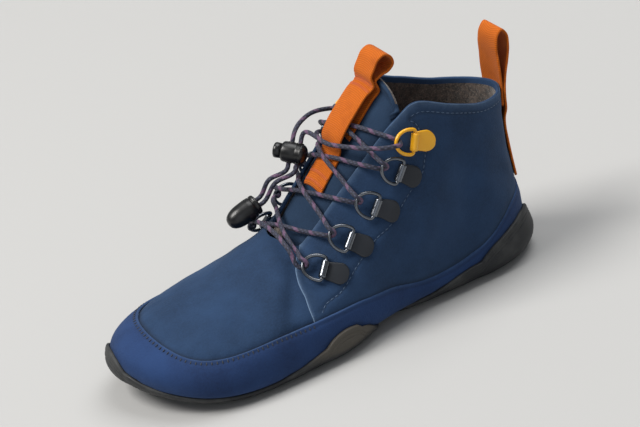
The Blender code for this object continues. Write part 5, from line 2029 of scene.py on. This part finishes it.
@dataclass
class Fittings:
    """The spring cord lock with its button, and the cord end."""

    shop: Workshop
    lacing: Lacing

    def turned(self, start: Array, way: Array, profile: Sequence[Sequence[float]], sides: int = 40) -> Form:
        """A turned solid: a circle of the given radius at each distance along an axis.

        Args:
            start: where the axis starts.
            way: the axis, one long.
            profile: distance along the axis and radius, row by row.
            sides: points round the circle.

        Returns:
            The closed form.
        """
        at = np.array(profile)
        first = unit(np.cross(way, (0.0, 0.0, 1.0)))
        second = np.cross(way, first)
        turns = np.arange(sides) * 2 * math.pi / sides
        circle = np.outer(np.cos(turns), first) + np.outer(np.sin(turns), second)
        middle = start + np.outer(at[:, 0], way)
        rings = middle[:, None, :] + circle[None] * np.maximum(at[:, 1], 0.02)[:, None, None]
        points = np.concatenate([rings.reshape(-1, 3), middle[:1], middle[-1:]])
        return Form(points, closed_bar_faces(len(at), sides))

    def lock(self) -> None:
        """The lock's barrel with grip ribs and a collar at each cord hole, and its button."""
        lock, way, through = self.lacing.lock_frame()
        half, wide = LOCK_LENGTH / 2, LOCK_WIDTH / 2
        profile = [(-half, 0.3)]
        profile += [(-half + x, wide * r) for x, r in ((0.1, 0.5), (0.5, 0.66), (1.4, 0.86), (2.6, 0.95))]
        for k in range(3):
            profile += [(-half + 3.2 + k * 0.9, wide * 0.97), (-half + 3.6 + k * 0.9, wide * 0.88)]
        profile += [(-half + 6.4, wide * 0.98)]
        profile += [(half - x, wide * r) for x, r in ((1.6, 1.0), (0.6, 0.97), (0.1, 0.9), (0.0, 0.84))]
        profile += [(half, 0.3)]
        form = self.turned(lock, way, profile)
        for lane in (1, -1):
            for facing in (1, -1):
                spot = lock + through * facing * (wide - 0.35) - way * lane * LOCK_LANE
                turn = np.linspace(0, 2 * math.pi, 25)[:-1]
                third = np.cross(way, through)
                ring = spot + 1.75 * (np.outer(np.cos(turn), way) + np.outer(np.sin(turn), third))
                form = form.joined(tube(ring, 0.5, 8, closed=True))
        self.shop.piece("cord_lock_barrel", form, [BLACK_NYLON], ["cord_lock"])
        end = half + BUTTON_LENGTH
        rounded = ((1.2, 0.76), (0.5, 0.72), (0.1, 0.6), (0.0, 0.45), (0.25, 0.3))
        profile = [(half + FIT, 0.3), (half + FIT, wide * 0.72)]
        profile += [(end - x, wide * r) for x, r in rounded] + [(end - 0.3, 0.1)]
        form = self.turned(lock, way, profile)
        self.shop.piece("cord_lock_plunger", form, [BLACK_NYLON], ["cord_lock_button"])

    def cord_end(self) -> bpy.types.Object:
        """The bullet over both strands: a flat lipped mouth, a parting groove and a round nose."""
        face = self.lacing.tongue.over(CORD_END_PLACE, CORD_END_STAND)
        ahead = unit(CORD_END_WAY)
        wide, long = CORD_END_WIDTH / 2, CORD_END_LENGTH
        t = np.linspace(0, 1, 18)
        nose = [(long * (0.5 + 0.5 * math.sin(a)), wide * math.cos(a) ** 0.75) for a in t * math.pi / 2]
        mouth = ((0.0, 0.78), (0.25, 0.9), (0.9, 0.95), (2.2, 0.95), (2.5, 0.86), (2.9, 0.86), (3.2, 0.97))
        profile = [(0.0, 0.2)] + [(x, wide * r) for x, r in mouth] + [(6.0, wide)]
        form = self.turned(face, ahead, profile + nose)
        return self.shop.piece("cord_end_bullet", form, [BLACK_NYLON], ["cord_end"])


@dataclass
class Stage:
    """The studio: camera at the photograph's angle, pale floor and soft lights."""

    shop: Workshop
    azimuth: float = 156.3
    elevation: float = 32.0
    roll: float = -11.0
    distance: float = 1425.0
    focal_px: float = 1400.0
    target: tuple[float, float, float] = (130.0, 0.0, 55.0)
    target_px: tuple[float, float] = (302.6, 124.0)
    centre_px: tuple[float, float] = (320.0, 213.5)
    window_px: tuple[float, float] = (306.0, 116.0)
    window_width_px: float = 348.0
    floor_reach: float = 6.0
    floor_gap: float = 1e-4

    def axes(self) -> tuple[Array, Array, Array]:
        """The camera's right, up and backward ways, rolled about its line of sight."""
        a, e, r = (math.radians(value) for value in (self.azimuth, self.elevation, self.roll))
        back = np.array([math.sin(a) * math.cos(e), -math.cos(a) * math.cos(e), math.sin(e)])
        right = np.array([math.cos(a), math.sin(a), 0.0])
        up = np.cross(back, right)
        turned = math.cos(r) * right + math.sin(r) * up
        return turned, -math.sin(r) * right + math.cos(r) * up, back

    def camera(self) -> None:
        """A long lens at the photograph's place, turned to frame the one shoe."""
        right, up, back = self.axes()
        aside = (np.array(self.target_px) - self.centre_px) / self.focal_px * self.distance
        spot = np.array(self.target) + back * self.distance - right * aside[0] + up * aside[1]
        look = (np.array(self.window_px) - self.centre_px) / self.focal_px
        ahead = unit(-back + right * look[0] - up * look[1])
        side = unit(np.cross(ahead, up))
        data = bpy.data.cameras.new("camera")
        data.lens = 36.0 * self.focal_px / self.window_width_px
        data.sensor_width = 36.0
        data.clip_end = 50.0
        made = bpy.data.objects.new("camera", data)
        turn = Matrix((side, np.cross(side, ahead), -ahead)).transposed().to_4x4()
        made.matrix_world = Matrix.Translation(Vector(self.shop.in_metres(spot))) @ turn
        bpy.context.scene.collection.objects.link(made)
        bpy.context.scene.camera = made

    def floor(self) -> None:
        """A pale smooth floor that reaches past the view."""
        mesh = bpy.data.meshes.new("floor")
        ways = ((-1, -1), (1, -1), (1, 1), (-1, 1))
        plan = [(x * self.floor_reach, y * self.floor_reach, -self.floor_gap) for x, y in ways]
        mesh.from_pydata(plan, [], [(0, 1, 2, 3)])
        paint = Finish("pale_floor_paint", "", "#adadac", roughness=0.8)
        mesh.materials.append(paint.build())
        made = bpy.data.objects.new("floor", mesh)
        bpy.context.scene.collection.objects.link(made)

    def light(self, name: str, place: Sequence[float], size: float, power: float, tint: str) -> None:
        """A square soft light that faces the shoe.

        Args:
            name: the light's name.
            place: where it stands, in metres.
            size: its side in metres.
            power: its watts.
            tint: its colour.
        """
        data = bpy.data.lights.new(name, "AREA")
        data.size = size
        data.energy = power
        data.color = linear(tint)[:3]
        made = bpy.data.objects.new(name, data)
        spot = Vector(place)
        made.location = spot
        made.rotation_mode = "QUATERNION"
        made.rotation_quaternion = (Vector((0, 0, 0.06)) - spot).to_track_quat("-Z", "Y")
        bpy.context.scene.collection.objects.link(made)

    def build(self) -> None:
        """Sets the camera, floor, lights and the grey of the room."""
        self.camera()
        self.floor()
        self.light("key", (2.2, -0.55, 3.3), 1.9, 185.0, "#fffcf8")
        self.light("fill", (0.6, 1.9, 0.8), 1.6, 5.0, "#f2f6ff")
        self.light("top", (-0.9, -0.3, 2.4), 1.8, 40.0, "#ffffff")
        world = bpy.data.worlds.new("room")
        world.use_nodes = True
        world.node_tree.nodes["Background"].inputs["Color"].default_value = linear("#dcdfe2")
        world.node_tree.nodes["Background"].inputs["Strength"].default_value = 0.34
        bpy.context.scene.world = world
        bpy.context.scene.view_settings.view_transform = "Standard"


def main() -> None:
    """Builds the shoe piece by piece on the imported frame."""
    logging.basicConfig(level=logging.INFO, format="%(name)s %(message)s")
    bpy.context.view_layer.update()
    shop = Workshop(Last())
    shop.find_shift()
    log.info("frame shift: %s", shop.shift)
    Stage(shop).build()
    tongue = Tongue(shop)
    rings = Rings(shop)
    lacing = Lacing(shop, tongue, rings)
    fittings = Fittings(shop, lacing)
    bullet = fittings.cord_end()
    lacing.build([bullet])
    fittings.lock()
    Upper(shop).build()
    Outsole(shop).build()
    Insole(shop).build()
    tongue.build()
    Straps(shop, tongue).build()
    rings.build()


if __name__ == "__main__":
    main()
